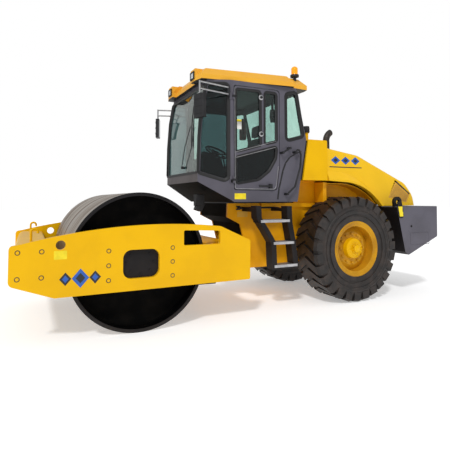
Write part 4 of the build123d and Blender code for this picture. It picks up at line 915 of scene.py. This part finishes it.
class ROLLER_OT_cab_trim(bpy.types.Operator):
    """Wiper, knobs, beads, blank plates, hose, bracket, latch, mirror glasses and a black panel of painted
    shade in the gap behind the cab
    """

    bl_idname = "roller.cab_trim"
    bl_label = "Cab trim"

    def execute(self, context):
        self.wiper()
        self.door_parts()
        self.body_parts()
        for name, side in SIDES:
            self.mirror(name, side)
        # A black rubber panel fills the gap between cab and tank: painted shade where the gap stands in shadow
        bm = bmesh.new()
        prism(bm, [(0.602, -0.775, 1.73), (0.637, -0.775, 1.73), (0.735, -0.775, 2.285),
                   (0.702, -0.775, 2.285)],
              (0, 1.55, 0))
        show("gap_filler", bm, "rear_frame", "black_plastic", "rubber")
        y = -CAB_SIDE
        blocks("side_latch", [((-0.50, y - 0.006, 1.665), (-0.462, y + 0.002, 1.71)),
                              ((-0.49, y - 0.014, 1.68), (-0.47, y - 0.004, 1.696))],
               "rear_frame", "black_plastic", "plastic", bevel=0.002)
        return {"FINISHED"}

    def wiper(self):
        """Blade laid along the windshield, its arm and the arm's pivot."""
        ahead = Vector((-1.3, 0, 0))
        bm = bmesh.new()
        blade = [surface("windshield", ahead + Vector((0, -0.395 + 0.04 * t, 2.15 + 0.58 * t)), (1, 0, 0))[0]
                 + Vector((-0.012, 0, 0)) for t in (k / 8 for k in range(9))]
        pipe(bm, blade, 0.008, sides=8)
        pivot = surface("windshield", ahead + Vector((0, -0.06, 1.9)), (1, 0, 0))[0] + Vector((-0.03, 0, 0))
        arm_end = blade[4] + Vector((-0.02, 0, 0))
        pipe(bm, [pivot, pivot.lerp(arm_end, 0.5) + Vector((-0.02, 0, 0)), arm_end], 0.006, sides=8)
        turned(bm, [(-0.045, 0.018), (0.0, 0.02), (0.012, 0.014)], pivot, (-1, 0, 0), sides=16)
        show("wiper", bm, "rear_frame", "black_plastic", "plastic")

    def door_parts(self):
        """Hinge knobs, and the bright beads along the door's edge and across it."""
        y = -CAB_SIDE
        bm = bmesh.new()
        for x, z in ((-0.036, 2.829), (-0.036, 2.33)):
            turned(bm, [(-0.002, 0.035), (0.005, 0.035), (0.008, 0.03)], (x, y, z), (0, -1, 0), sides=28)
            turned(bm, [(0.0, 0.02), (0.018, 0.02), (0.022, 0.015)], (x, y, z), (0, -1, 0), sides=20, mat=1)
        show("door_knobs", bm, "door", "black_plastic", "zinc", "plastic", sharp=50)
        front, rear = DOOR_FRONT + 0.006, DOOR_FRONT + 0.675
        edge = ((front, 2.93), (front, 1.60), (front + 0.02, 1.588), (rear - 0.075, 1.588),
                (rear - 0.045, 1.62), (rear - 0.008, 1.90))
        rails = ((front + 0.012, 2.071), (rear - 0.04, 2.246)), ((front + 0.012, 1.998), (rear - 0.05, 2.16))
        bm = bmesh.new()
        for path in (edge, *rails):
            pipe(bm, bent([(x, y - 0.0005, z) for x, z in path], 0.03), 0.0042, sides=6)
        show("door_edge_beads", bm, "door", "bright_steel", "zinc", sharp=60)

    def body_parts(self):
        """Painted shadow along the side panel's fold, skirt, nose bracket, blank plates and the hose on its
        clips.
        """
        y = -CAB_SIDE
        # A thin dark strip follows the fold in the cab's side panel: painted shadow of the pressing's recess
        fold = [(0.60, 2.13), (0.482, 2.078), (0.40, 2.03), (0.335, 1.95), (0.29, 1.84), (0.255, 1.70),
                (0.226, 1.60), (0.205, 1.45)]
        bm = bmesh.new()
        for a, b in zip(fold, fold[1:]):
            corners = (a, b, (b[0] + 0.022, b[1] - 0.004), (a[0] + 0.022, a[1] - 0.010))
            prism(bm, [(x, y - 0.0005, z) for x, z in corners], (0, -0.0018, 0))
        show("side_fold_strip", bm, "rear_frame", "grey_paint", "rubber")
        blocks("cab_skirt", [((-0.385, -0.488, 1.39), (0.655, 0.488, 1.418))], "rear_frame", "black_plastic",
               "rubber")
        bm = bmesh.new()
        block(bm, (-0.80, -0.36, 1.36), (-0.68, -0.24, 1.52))
        prism(bm, [(-0.81, -0.355, 1.31), (-0.72, -0.355, 1.28), (-0.66, -0.355, 1.40),
                   (-0.76, -0.355, 1.42)],
              (0, 0.11, 0))
        show("nose_bracket", bm, "rear_frame", "black_plastic", "plastic", bevel=0.01)
        blocks("door_notice_blank", [((-0.418, y + 0.0155, 2.377), (-0.326, y + 0.0175, 2.478)),
                                     ((-0.418, y + 0.0155, 2.478), (-0.326, y + 0.0175, 2.508), 1)],
               "door", "lamp_glass", "white_film", "lemon_film")
        blocks("sill_label", [((-0.44, y - 0.0012, 1.452), (-0.275, y + 0.001, 1.528))], "rear_frame",
               "yellow_paint", "lemon_film")
        blocks("frame_plate_blank", [((-0.255, -0.5015, 1.205), (-0.092, -0.499, 1.283))], "rear_frame",
               "yellow_paint", "vent_yellow")
        bm = bmesh.new()
        for x in (-0.243, 0.397):
            for z in (1.31, 1.35):
                block(bm, (x - 0.03, -0.515, z - 0.008), (x + 0.03, -0.5, z + 0.008))
        hose = [(-0.26, -0.53, 1.33), (-0.05, -0.525, 1.325), (0.2, -0.53, 1.338), (0.41, -0.525, 1.33)]
        pipe(bm, bent(hose, 0.08), 0.016, sides=10)
        show("frame_hose_clips", bm, "rear_frame", "black_plastic", "plastic", sharp=60)

    def mirror(self, name, side):
        """Silvered glass on the face of a mirror and ribs on its back."""
        turn = Matrix.Rotation(-side * MIRROR_TURN, 3, "Z")
        x, y, z = MIRROR_MIDDLE
        head = Vector((x, side * y, z))

        def at(x, y, z):
            return head + turn @ Vector((x, y, z))

        outline = [(-0.075, -0.13), (-0.06, -0.14), (0.06, -0.14), (0.075, -0.13), (0.075, 0.13),
                   (0.06, 0.14), (-0.06, 0.14), (-0.075, 0.13)]
        bm = bmesh.new()
        prism(bm, [at(0.0265, u, v) for u, v in outline], turn @ Vector((0.003, 0, 0)))
        show(f"mirror_glass_{name}", bm, "rear_frame", "bright_steel", "mirror")
        bm = bmesh.new()
        for v in (-0.09, 0, 0.09):
            corners = ((-0.07, v - 0.012), (0.07, v - 0.012), (0.07, v + 0.012), (-0.07, v + 0.012))
            prism(bm, [at(-0.0268, u, w) for u, w in corners], turn @ Vector((-0.005, 0, 0)))
        show(f"mirror_ribs_{name}", bm, "rear_frame", "black_plastic", "plastic", bevel=0.002)


class ROLLER_OT_cab_inside(bpy.types.Operator):
    """Steering wheel, instruments, side consoles, lever, extinguisher and fan"""

    bl_idname = "roller.cab_inside"
    bl_label = "Cab inside"

    def execute(self, context):
        floor = low("seat_base").z
        self.steering_wheel(floor)
        top = high("console").z
        bm = bmesh.new()
        prism(bm, [(-0.60, -0.16, top - 0.01), (-0.42, -0.16, top - 0.01), (-0.42, -0.16, top + 0.03),
                   (-0.60, -0.16, top + 0.09)], (0, 0.32, 0))
        show("instrument_hood", bm, "rear_frame", "black_plastic", "plastic", bevel=0.012)
        bm = bmesh.new()
        tilt = Vector((0.06, 0, 0.18)).normalized()
        for y in (-0.08, 0.08):
            turned(bm, [(0.0, 0.042), (0.006, 0.042), (0.008, 0.036)], (-0.51, y, top + 0.057), tilt,
                   sides=28)
            turned(bm, [(0.0065, 0.034), (0.0075, 0.033)], (-0.51, y, top + 0.0585), tilt, sides=28, mat=1)
        show("dials", bm, "rear_frame", "black_plastic", "zinc", "white_film")
        seat = middle("seat_cushion")
        arm_y, arm_top = 0.34, floor + 0.48
        boxes = []
        for y in (-arm_y, arm_y):
            boxes += [((seat.x - 0.16, y - 0.06, floor + 0.30), (seat.x + 0.22, y + 0.06, arm_top)),
                      ((seat.x - 0.10, y - 0.05, floor), (seat.x + 0.16, y + 0.05, floor + 0.31))]
        blocks("side_consoles", boxes, "rear_frame", "black_plastic", "plastic", bevel=0.015)
        bm = bmesh.new()
        foot = Vector((seat.x - 0.08, arm_y, arm_top))
        pipe(bm, [foot, foot + Vector((-0.02, 0, 0.09)), foot + Vector((-0.03, 0, 0.15))], 0.008, sides=10)
        turned(bm, [(0.0, 0.012), (0.02, 0.022), (0.05, 0.024), (0.065, 0.014)],
               foot + Vector((-0.03, 0, 0.14)), (-0.1, 0, 1), sides=16)
        turned(bm, [(-0.002, 0.05), (0.02, 0.035), (0.035, 0.014)], foot, (0, 0, 1), sides=20)
        show("travel_lever", bm, "rear_frame", "black_plastic", "rubber", sharp=50)
        bm = bmesh.new()
        bottle = [(0.0, 0.05), (0.02, 0.06), (0.27, 0.06), (0.31, 0.035), (0.33, 0.018), (0.36, 0.018)]
        turned(bm, bottle, (0.36, 0.50, 2.44), (0, 0, 1), sides=24)
        show("extinguisher", bm, "rear_frame", "black_plastic", "red_paint", sharp=50)
        bm = bmesh.new()
        hub = Vector((0.40, -0.38, 2.685))
        axis, across, up = Vector((0.8, -0.6, 0)), Vector((0.6, 0.8, 0)), Vector((0, 0, 1))
        ring(bm, [(-0.03, 0.085), (0.03, 0.085), (0.03, 0.095), (-0.03, 0.095)], hub, axis, sides=36)
        turned(bm, [(-0.04, 0.03), (0.02, 0.034), (0.034, 0.02)], hub, axis, sides=20)
        turned(bm, [(0, 0.02), (0.2, 0.02)], hub + up * 0.08, up, sides=12)
        for a in (2 * pi * k / 6 for k in range(6)):
            way = cos(a) * across + sin(a) * up
            pipe(bm, [hub + way * 0.02, hub + way * 0.09], 0.005, sides=6)
        show("cab_fan", bm, "rear_frame", "black_plastic", "plastic", sharp=50)
        return {"FINISHED"}

    def steering_wheel(self, floor):
        """Rim, three spokes, boss, spinner knob and the stem that stands on the console."""
        axis = Vector((0.45, 0, 0.9)).normalized()
        wheel = Vector((-0.34, 0, floor + 0.685))
        across = Vector((0, 1, 0))
        ahead = axis.cross(across)
        rim_r = 0.176
        bm = bmesh.new()
        pipe(bm, circle(wheel, axis, rim_r, 48), 0.0135, sides=12, loop=True)
        for turn in (radians(90), radians(210), radians(330)):
            way = cos(turn) * across + sin(turn) * ahead
            pipe(bm, [wheel - axis * 0.02 + way * 0.03, wheel - axis * 0.016 + way * 0.1,
                      wheel + way * 0.172], 0.014,
                 sides=8, flat=0.5)
        turned(bm, [(-0.04, 0.03), (-0.02, 0.05), (0.0, 0.052), (0.008, 0.04)], wheel, axis, sides=24)
        turned(bm, [(0.0, 0.012), (0.02, 0.012), (0.03, 0.024), (0.05, 0.028), (0.066, 0.02)],
               wheel + across * rim_r, axis, sides=16)
        turned(bm, [(-0.16, 0.03), (-0.04, 0.024)], wheel, axis, sides=16)
        made = show("steering_wheel_rim", bm, "rear_frame", "black_plastic", "plastic", sharp=50)
        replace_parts(made, "steering_wheel")


def cushion(name, lo, hi, node, crown, channels, lean=0.0):
    """Padded form in a box: crowned, with pulled-in corners and sewn channels, leaning back by lean."""
    lo, hi = Vector(lo), Vector(hi)
    size = hi - lo
    bm = bmesh.new()
    bmesh.ops.create_cube(bm, size=1.0)
    bmesh.ops.subdivide_edges(bm, edges=bm.edges[:], cuts=11, use_grid_fill=True)
    for v in bm.verts:
        u = [2 * v.co[i] for i in range(3)]
        soft = [copysign(abs(c) ** 0.9, c) for c in u]
        pull = [1 - 0.07 * (abs(u[(i + 1) % 3]) ** 4 + abs(u[(i + 2) % 3]) ** 4) for i in range(3)]
        p = Vector([soft[i] * pull[i] / 2 for i in range(3)])
        bulge = crown * max(0.0, (1 - u[1] ** 2)) * max(0.0, 1 - (u[2] if lean else u[0]) ** 2)
        spot = Vector([lo[i] + size[i] * (p[i] + 0.5) for i in range(3)])
        groove = sum(max(0.0, 1 - abs(u[1] - c) / 0.09) for c in channels) * 0.010
        if lean:
            spot.x -= (bulge - groove) * (u[0] < 0) * (0.5 - u[0] / 2)
            spot.x += lean * (spot.z - lo.z)
        else:
            spot.z += (bulge - groove) * max(0.0, u[2])
        v.co = spot
    obj = show(name, bm, "rear_frame", "seat_cloth", "cloth", sharp=80, rounds=1)
    if node:
        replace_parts(obj, node)


class ROLLER_OT_seat(bpy.types.Operator):
    """Seat cushion, back and head rest with their sewn channels, and the head rest's stems"""

    bl_idname = "roller.seat"
    bl_label = "Seat"

    def execute(self, context):
        lo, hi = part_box("seat_cushion")
        cushion("seat_cushion_pad", lo + Vector((0.004, 0.004, 0)), hi - Vector((0.03, 0.004, 0.018)),
                "seat_cushion", 0.018, (-0.62, 0.62))
        back_lo, back_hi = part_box("seat_back")
        back = back_lo.x
        base = hi.z + 0.004
        cushion("seat_back_pad", (back + 0.02, -0.235, base), (back + 0.115, 0.235, base + 0.55), "seat_back",
                0.016, (-0.6, 0.6), lean=0.147)
        cushion("head_rest_pad", (back + 0.105, -0.125, base + 0.575),
                (back + 0.18, 0.125, back_hi.z - 0.004), None, 0.012, (), lean=0.1)
        bm = bmesh.new()
        for y in (-0.06, 0.06):
            pipe(bm, [(back + 0.145, y, base + 0.52), (back + 0.15, y, base + 0.62)], 0.007, sides=10)
        show("head_rest_stems", bm, "rear_frame", "bright_steel", "zinc")
        return {"FINISHED"}


# ------------------------------------------------------------------ lamps
class ROLLER_OT_lamps(bpy.types.Operator):
    """Bezels round the roof lamps, the ribbed beacon and the tail lamps"""

    bl_idname = "roller.lamps"
    bl_label = "Lamps and beacon"

    def execute(self, context):
        lo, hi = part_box("roof_lamps")
        z = (lo.z + hi.z) / 2
        outer = [(-0.066, -0.052), (0.066, -0.052), (0.066, 0.052), (-0.066, 0.052)]
        inner = [(-0.05, -0.037), (0.05, -0.037), (0.05, 0.037), (-0.05, 0.037)]
        for name, side in SIDES:
            y = side * (hi.y - 0.055)
            bm = bmesh.new()
            for k in range(4):
                after = (k + 1) % 4
                corners = (outer[k], outer[after], inner[after], inner[k])
                prism(bm, [(lo.x - 0.006, y + p[0], z + p[1]) for p in corners], (0.016, 0, 0))
            show(f"lamp_bezel_{name}", bm, "rear_frame", "black_plastic", "plastic", bevel=0.003)
        spot = middle("beacon")
        profile = [(0.0, 0.05), (0.006, 0.05), (0.012, 0.046)]
        for k in range(5):
            u = 0.014 + k * 0.015
            profile += [(u, 0.0475), (u + 0.006, 0.0455), (u + 0.013, 0.0475)]
        profile += [(0.098, 0.045), (0.112, 0.036), (0.121, 0.022), (0.125, 0.008)]
        bm = bmesh.new()
        turned(bm, profile, (spot.x, spot.y, low("beacon").z), (0, 0, 1), sides=36)
        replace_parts(show("beacon_dome", bm, "rear_frame", "amber_lens", "amber", sharp=70), "beacon")
        rear = high("ballast").x
        trays, lenses = [], []
        for y in (-0.86, 0.86):
            trays.append(((rear - 0.004, y - 0.10, 1.16), (rear + 0.005, y + 0.10, 1.25)))
            lenses += [((rear + 0.004, y - 0.09, 1.17), (rear + 0.012, y - 0.005, 1.24), 0),
                       ((rear + 0.004, y + 0.005, 1.17), (rear + 0.012, y + 0.09, 1.24), 1)]
        blocks("tail_lamp_trays", trays, "rear_frame", "black_plastic", "plastic", bevel=0.003)
        blocks("tail_lamps", lenses, "rear_frame", "amber_lens", "red", "amber", bevel=0.004)
        return {"FINISHED"}


# ------------------------------------------------------------------ hood, tank and exhaust
class ROLLER_OT_hood_fittings(bpy.types.Operator):
    """Vents, blank ornament, plain line and rear grille on the hood, and the exhaust's mouth and collar"""

    bl_idname = "roller.hood_fittings"
    bl_label = "Hood fittings"

    def execute(self, context):
        trim = context.scene.roller_trim
        for name, side in SIDES:
            self.vent(name, side, trim.vent_pitch)
            bm = bmesh.new()
            y = side * (HOOD_SIDE - 0.001)
            for x in (1.275 + k * 0.19 for k in range(3)):
                for half, out, mat in ((0.062, 0.0025, 0), (0.031, 0.0032, 1)):
                    lozenge(bm, (x, y, 2.03), half * 1.4, half, side * out, mat)
            show(f"hood_ornament_{name}", bm, "hood", "black_paint", "blue_film", "dark_film")
            y = side * HOOD_SIDE
            blocks(f"hood_line_{name}", [((1.16, y - 0.001, 1.922), (1.78, y + 0.001, 1.936))], "hood",
                   "black_paint", "dark_film")
        slats = []
        for k in range(trim.slat_count):
            z = 1.40 + 0.30 * k / (trim.slat_count - 1)
            spot, normal = surface("hood", (AXLE + 2.4, 0.0, z), (-1, 0, 0))
            slats.append((spot + normal * 0.004, normal))
        repeated("rear_grille", "slats", slats, "hood", "black_plastic", "plastic", size=(0.018, 1.0, 0.02))
        bm = bmesh.new()
        for y in (-0.52, 0.52):
            pipe(bm, [p + n * 0.008 + Vector((0, y, 0)) for p, n in slats], 0.013, sides=8)
        show("grille_posts", bm, "hood", "black_plastic", "plastic", sharp=60)
        self.exhaust()
        return {"FINISHED"}

    def vent(self, name, side, pitch):
        """Perforated plate on the hood's side, with dots of painted shade for its holes and a strip of painted
        shadow above it.
        """
        spots = ((1.115, 1.712), (1.405, 1.512), (1.335, 1.400), (0.965, 1.478))
        corners = [Vector((AXLE + x, 0, z)) for x, z in spots]
        centre = sum(corners, Vector()) / 4
        bm = bmesh.new()
        prism(bm, [centre + (c - centre) * 1.06 + Vector((0, side * (HOOD_SIDE - 0.001), 0))
                   for c in corners],
              (0, side * 0.003, 0))
        show(f"vent_mesh_{name}", bm, "hood", "yellow_paint", "vent_yellow")
        a, b, c, d = corners
        # Dots of perforation shade: painted shade in place of open holes
        holes = []
        rows = round((a - d).length / pitch)
        for i in range(1, rows):
            left, right = a.lerp(d, i / rows), b.lerp(c, i / rows)
            count = round((left - right).length / pitch)
            for k in range(1, count):
                p = left.lerp(right, (k + 0.5 * (i % 2)) / (count + 0.5))
                holes.append((p + Vector((0, side * (HOOD_SIDE + 0.002), 0)), (0, side, 0)))
        repeated(f"vent_holes_{name}", "dots", holes, "hood", "black_paint", "vent_dark", radius=pitch * 0.3,
                 height=0.0012, sides=8)
        # Dark film strip along the vent's top edge: painted shadow
        way = (b - a).normalized()
        up = Vector((-way.z, 0, way.x))
        face = Vector((0, side * (HOOD_SIDE - 0.002), 0))
        bm = bmesh.new()
        prism(bm, [p + up * out + face for p, out in ((a, 0.012), (b, 0.012), (b, 0.03), (a, 0.03))],
              (0, side * 0.0045, 0))
        show(f"vent_slot_{name}", bm, "hood", "black_paint", "dark_film")

    def exhaust(self):
        """Dark mouth in the end face of the slanted pipe, and the collars where the pipe leaves the hood."""
        mesh = NODES["exhaust"].data
        tip_x, tip_z = 1.72, 2.53
        end = [v.co for v in mesh.vertices if v.co.z > tip_z and v.co.x > tip_x]
        face = max(mesh.polygons, key=lambda f: f.area * (f.normal.x > 0.4) * (f.normal.z > 0.3))
        normal = face.normal.copy()
        rim = [v for v in end if abs((v - face.center).dot(normal)) < 0.002]
        mouth = sum(rim, Vector()) / len(rim)
        bm = bmesh.new()
        turned(bm, [(0.0002, 0.047), (0.0012, 0.046)], mouth, normal)
        ring(bm, [(-0.012, 0.0545), (0.003, 0.0545), (0.003, 0.047), (0.0, 0.047)], mouth, normal, sides=40,
             mat=1)
        show("exhaust_mouth", bm, "hood", "cast_steel", "drum_black", "cast")
        foot = Vector((AXLE + 0.325, 0, low("exhaust").z))
        bm = bmesh.new()
        ring(bm, [(0.004, 0.054), (0.004, 0.068), (0.014, 0.066), (0.03, 0.056), (0.03, 0.054)], foot,
             (0, 0, 1), sides=40)
        ring(bm, [(0.10, 0.0535), (0.10, 0.0565), (0.125, 0.0565), (0.125, 0.0535)], foot, (0, 0, 1),
             sides=40)
        show("exhaust_collar", bm, "hood", "cast_steel", "cast", sharp=50)


class ROLLER_OT_body_seams(bpy.types.Operator):
    """Hood seal, posts beside the wheel arch, the filler cap's grips and the tank's studded top plate"""

    bl_idname = "roller.body_seams"
    bl_label = "Seams and tank fittings"

    def execute(self, context):
        bm = bmesh.new()
        x = HOOD_FRONT + 0.004
        half, foot, top = 0.722, 1.76, 2.209
        seam = [(-half, foot), (-half, top - 0.012), (-half + 0.04, top), (half - 0.04, top),
                (half, top - 0.012), (half, foot)]
        pipe(bm, bent([(x, y, z) for y, z in seam], 0.04), 0.008, sides=8)
        show("hood_seal", bm, "rear_frame", "black_plastic", "rubber", sharp=60)
        # The posts take the darker yellow: painted shade inside the wheel arch
        for name, near, far in (("left", -0.712, -0.505), ("right", 0.505, 0.712)):
            blocks(f"arch_post_{name}", [((1.055, near, 1.40), (1.118, far, 1.70))], "rear_frame",
                   "yellow_paint", "shade_yellow", bevel=0.004)
        neck = middle("filler_neck")
        neck_top = high("filler_neck").z
        cap = Vector((neck.x, neck.y, neck_top - 0.1))
        bm = bmesh.new()
        for a in (2 * pi * k / 12 for k in range(12)):
            p = cap + Vector((0.046 * cos(a), 0.046 * sin(a), 0.012))
            pipe(bm, [p, p + Vector((0, 0, 0.07))], 0.0045, sides=6)
        show("cap_grips", bm, "rear_frame", "black_plastic", "plastic", sharp=60)
        tank_top = neck_top - 0.245
        blocks("tank_tread", [((0.80, -0.72, tank_top), (1.02, 0.72, tank_top + 0.004))], "rear_frame",
               "yellow_paint", "yellow", bevel=0.0015)
        clear_x, clear_y, clear = 0.922, -0.5, 0.07
        studs = []
        for i in range(7):
            for k in range(40):
                x, y = 0.82 + 0.03 * i, -0.70 + 0.035 * k
                if abs(x - clear_x) >= clear or abs(y - clear_y) >= clear:
                    studs.append(((x, y + 0.0175 * (i % 2), tank_top + 0.005), (0, 0, 1)))
        repeated("tank_grips", "dots", studs, "rear_frame", "yellow_paint", "yellow", radius=0.006,
                 height=0.004, sides=8)
        return {"FINISHED"}


# ------------------------------------------------------------------ ladder and ballast
class ROLLER_OT_ladder_treads(bpy.types.Operator):
    """Galvanised treads with raised studs on the ladder's steps"""

    bl_idname = "roller.ladder_treads"
    bl_label = "Ladder treads"

    def execute(self, context):
        treads = ((-0.127, 0.318, 1.174), (0.063, 0.383, 0.882), (0.073, 0.433, 0.580))
        boxes, studs = [], []
        for x0, x1, z in treads:
            boxes += [((x0, -0.936, z), (x1, -0.784, z + 0.005)),
                      ((x0, -0.938, z - 0.03), (x1, -0.931, z + 0.005))]
            studs += [((x0 + 0.02 + 0.036 * i, -0.92 + 0.03 * k, z + 0.006), (0, 0, 1))
                      for i in range(int((x1 - x0 - 0.02) / 0.036)) for k in range(5)]
        blocks("ladder_tread_plates", boxes, "rear_frame", "bright_steel", "zinc", bevel=0.0012)
        repeated("ladder_tread_studs", "dots", studs, "rear_frame", "bright_steel", "zinc", radius=0.007,
                 height=0.006, sides=8)
        return {"FINISHED"}


class ROLLER_OT_ballast_fittings(bpy.types.Operator):
    """Plugs, weld lines, a blank rear plate and the tie lugs' foot plates with plain labels"""

    bl_idname = "roller.ballast_fittings"
    bl_label = "Ballast fittings"

    def execute(self, context):
        face = high("ballast").y
        weld = [(2.43, 0.93), (2.83, 0.93), (2.83, 0.75), (2.43, 0.75)]
        for name, side in SIDES:
            y = side * face
            bm = bmesh.new()
            turned(bm, [(-0.002, 0.017), (0.003, 0.017), (0.004, 0.012)], (2.455, y, 1.032), (0, side, 0),
                   sides=20)
            show(f"ballast_plug_{name}", bm, "rear_frame", "black_paint", "black")
            bm = bmesh.new()
            pipe(bm, bent([(x, y, z) for x, z in weld], 0.01), 0.004, sides=6)
            pipe(bm, [(2.43, y, 0.75), (2.43, y, 0.93)], 0.004, sides=6)
            show(f"ballast_weld_{name}", bm, "rear_frame", "grey_paint", "grey", sharp=70)
        rear = high("ballast").x
        blocks("rear_plate_blank", [((rear - 0.002, -0.26, 1.13), (rear + 0.003, 0.26, 1.245))], "rear_frame",
               "bright_steel", "white_film", bevel=0.001)
        bm = bmesh.new()
        for y in (-0.34, 0.34):
            turned(bm, [(-0.01, 0.05), (0.004, 0.05), (0.007, 0.044)], (rear, y, 1.0), (1, 0, 0), sides=28)
        show("rear_plugs", bm, "rear_frame", "cast_steel", "cast", sharp=50)
        plate = [(2.160, 1.410), (2.255, 1.410), (2.290, 1.20), (2.272, 1.165), (2.205, 1.165)]
        label = [(2.178, 1.335), (2.262, 1.335), (2.262, 1.26), (2.275, 1.25), (2.275, 1.185), (2.205, 1.185),
                 (2.192, 1.26)]
        for name, side in SIDES:
            y = side * face
            bm = bmesh.new()
            prism(bm, [(x, y, z) for x, z in plate], (0, side * 0.012, 0))
            show(f"lug_plate_{name}", bm, "rear_frame", "black_paint", "black", bevel=0.004)
            bm = bmesh.new()
            prism(bm, [(x, y + side * 0.0118, z) for x, z in label], (0, side * 0.001, 0))
            show(f"lug_label_{name}", bm, "rear_frame", "yellow_paint", "lemon_film")
        return {"FINISHED"}


# ------------------------------------------------------------------ stage
def pale_floor(name, code, glow):
    """Floor paint that stays near white to the eye, in glass and in gloss, and keeps the machine's shadow."""
    material = bpy.data.materials.new(name)
    material.use_nodes = True
    tree = material.node_tree
    tree.nodes.clear()
    matt = add(tree, "ShaderNodeBsdfDiffuse", Color=rgba(code))
    light = add(tree, "ShaderNodeEmission", Color=rgba("FFFFFF"), Strength=glow)
    total = add(tree, "ShaderNodeAddShader", {0: matt.outputs[0], 1: light.outputs[0]})
    add(tree, "ShaderNodeOutputMaterial", {"Surface": total.outputs[0]})
    return material


class ROLLER_OT_stage(bpy.types.Operator):
    """Lays the floor, lights the machine and sets up the camera"""

    bl_idname = "roller.stage"
    bl_label = "Floor, lights and camera"

    def execute(self, context):
        scene = context.scene
        look = scene.roller_look
        view = scene.roller_view
        scene.view_settings.view_transform = "Standard"
        scene.cycles.caustics_refractive = False
        world = bpy.data.worlds.new("studio")
        scene.world = world
        world.use_nodes = True
        tree = world.node_tree
        tree.nodes.clear()
        path = add(tree, "ShaderNodeLightPath").outputs
        seen = add(tree, "ShaderNodeMath", {0: path["Is Camera Ray"], 1: path["Is Transmission Ray"]},
                   operation="MAXIMUM")
        level = spread(tree, seen.outputs["Value"], To_Min=look.sky_power, To_Max=1.0)
        sky = add(tree, "ShaderNodeBackground", {"Strength": level}, Color=rgba("FFFFFF"))
        add(tree, "ShaderNodeOutputWorld", {"Surface": sky.outputs[0]})
        reach = 60
        mesh = bpy.data.meshes.new("floor")
        corners = [(-reach, -reach, 0), (reach, -reach, 0), (reach, reach, 0), (-reach, reach, 0)]
        mesh.from_pydata(corners, [], [(0, 1, 2, 3)])
        floor = bpy.data.objects.new("floor", mesh)
        scene.collection.objects.link(floor)
        mesh.materials.append(pale_floor("pale floor", "F2F2F2", 0.35))
        lamp = bpy.data.lights.new("sun", "SUN")
        lamp.energy = look.sun_power
        lamp.angle = radians(6)
        sun = bpy.data.objects.new("sun", lamp)
        sun.rotation_euler = (radians(42), radians(-18), radians(-20))
        scene.collection.objects.link(sun)
        data = bpy.data.cameras.new("camera")
        data.lens = view.lens
        data.sensor_width = 36
        data.shift_y = view.shift
        data.clip_end = 200
        camera = bpy.data.objects.new("camera", data)
        level_turn = Matrix.Rotation(-view.yaw, 4, "Z") @ Matrix.Rotation(pi / 2 + view.pitch, 4, "X")
        camera.matrix_world = Matrix.Translation(view.place) @ level_turn @ Matrix.Rotation(view.roll, 4, "Z")
        scene.collection.objects.link(camera)
        scene.camera = camera
        return {"FINISHED"}


GROUPS = (RollerLook, RollerTrim, RollerView)
STEPS = (ROLLER_OT_finish, ROLLER_OT_plate_fittings, ROLLER_OT_drum_fittings, ROLLER_OT_wheel_fittings,
         ROLLER_OT_seals,
         ROLLER_OT_cab_trim, ROLLER_OT_cab_inside, ROLLER_OT_seat, ROLLER_OT_lamps, ROLLER_OT_hood_fittings,
         ROLLER_OT_body_seams, ROLLER_OT_ladder_treads, ROLLER_OT_ballast_fittings, ROLLER_OT_stage)


class ROLLER_PT_panel(bpy.types.Panel):
    """Lists the sizes, the colours and the steps"""

    bl_label = "Road roller"
    bl_idname = "ROLLER_PT_panel"
    bl_space_type = "VIEW_3D"
    bl_region_type = "UI"
    bl_category = "Roller"

    def draw(self, context):
        for group in (context.scene.roller_look, context.scene.roller_trim, context.scene.roller_view):
            box = self.layout.box()
            for key in group.bl_rna.properties.keys():
                if key not in ("rna_type", "name"):
                    box.prop(group, key)
        for step in STEPS:
            self.layout.operator(step.bl_idname)


def register():
    for cls in (*GROUPS, *STEPS, ROLLER_PT_panel):
        bpy.utils.register_class(cls)
    bpy.types.Scene.roller_look = bpy.props.PointerProperty(type=RollerLook)
    bpy.types.Scene.roller_trim = bpy.props.PointerProperty(type=RollerTrim)
    bpy.types.Scene.roller_view = bpy.props.PointerProperty(type=RollerView)


def unregister():
    del bpy.types.Scene.roller_look
    del bpy.types.Scene.roller_trim
    del bpy.types.Scene.roller_view
    for cls in reversed((*GROUPS, *STEPS, ROLLER_PT_panel)):
        bpy.utils.unregister_class(cls)


def main():
    register()
    for step in STEPS:
        group, name = step.bl_idname.split(".")
        getattr(getattr(bpy.ops, group), name)()


if __name__ == "__main__":
    main()
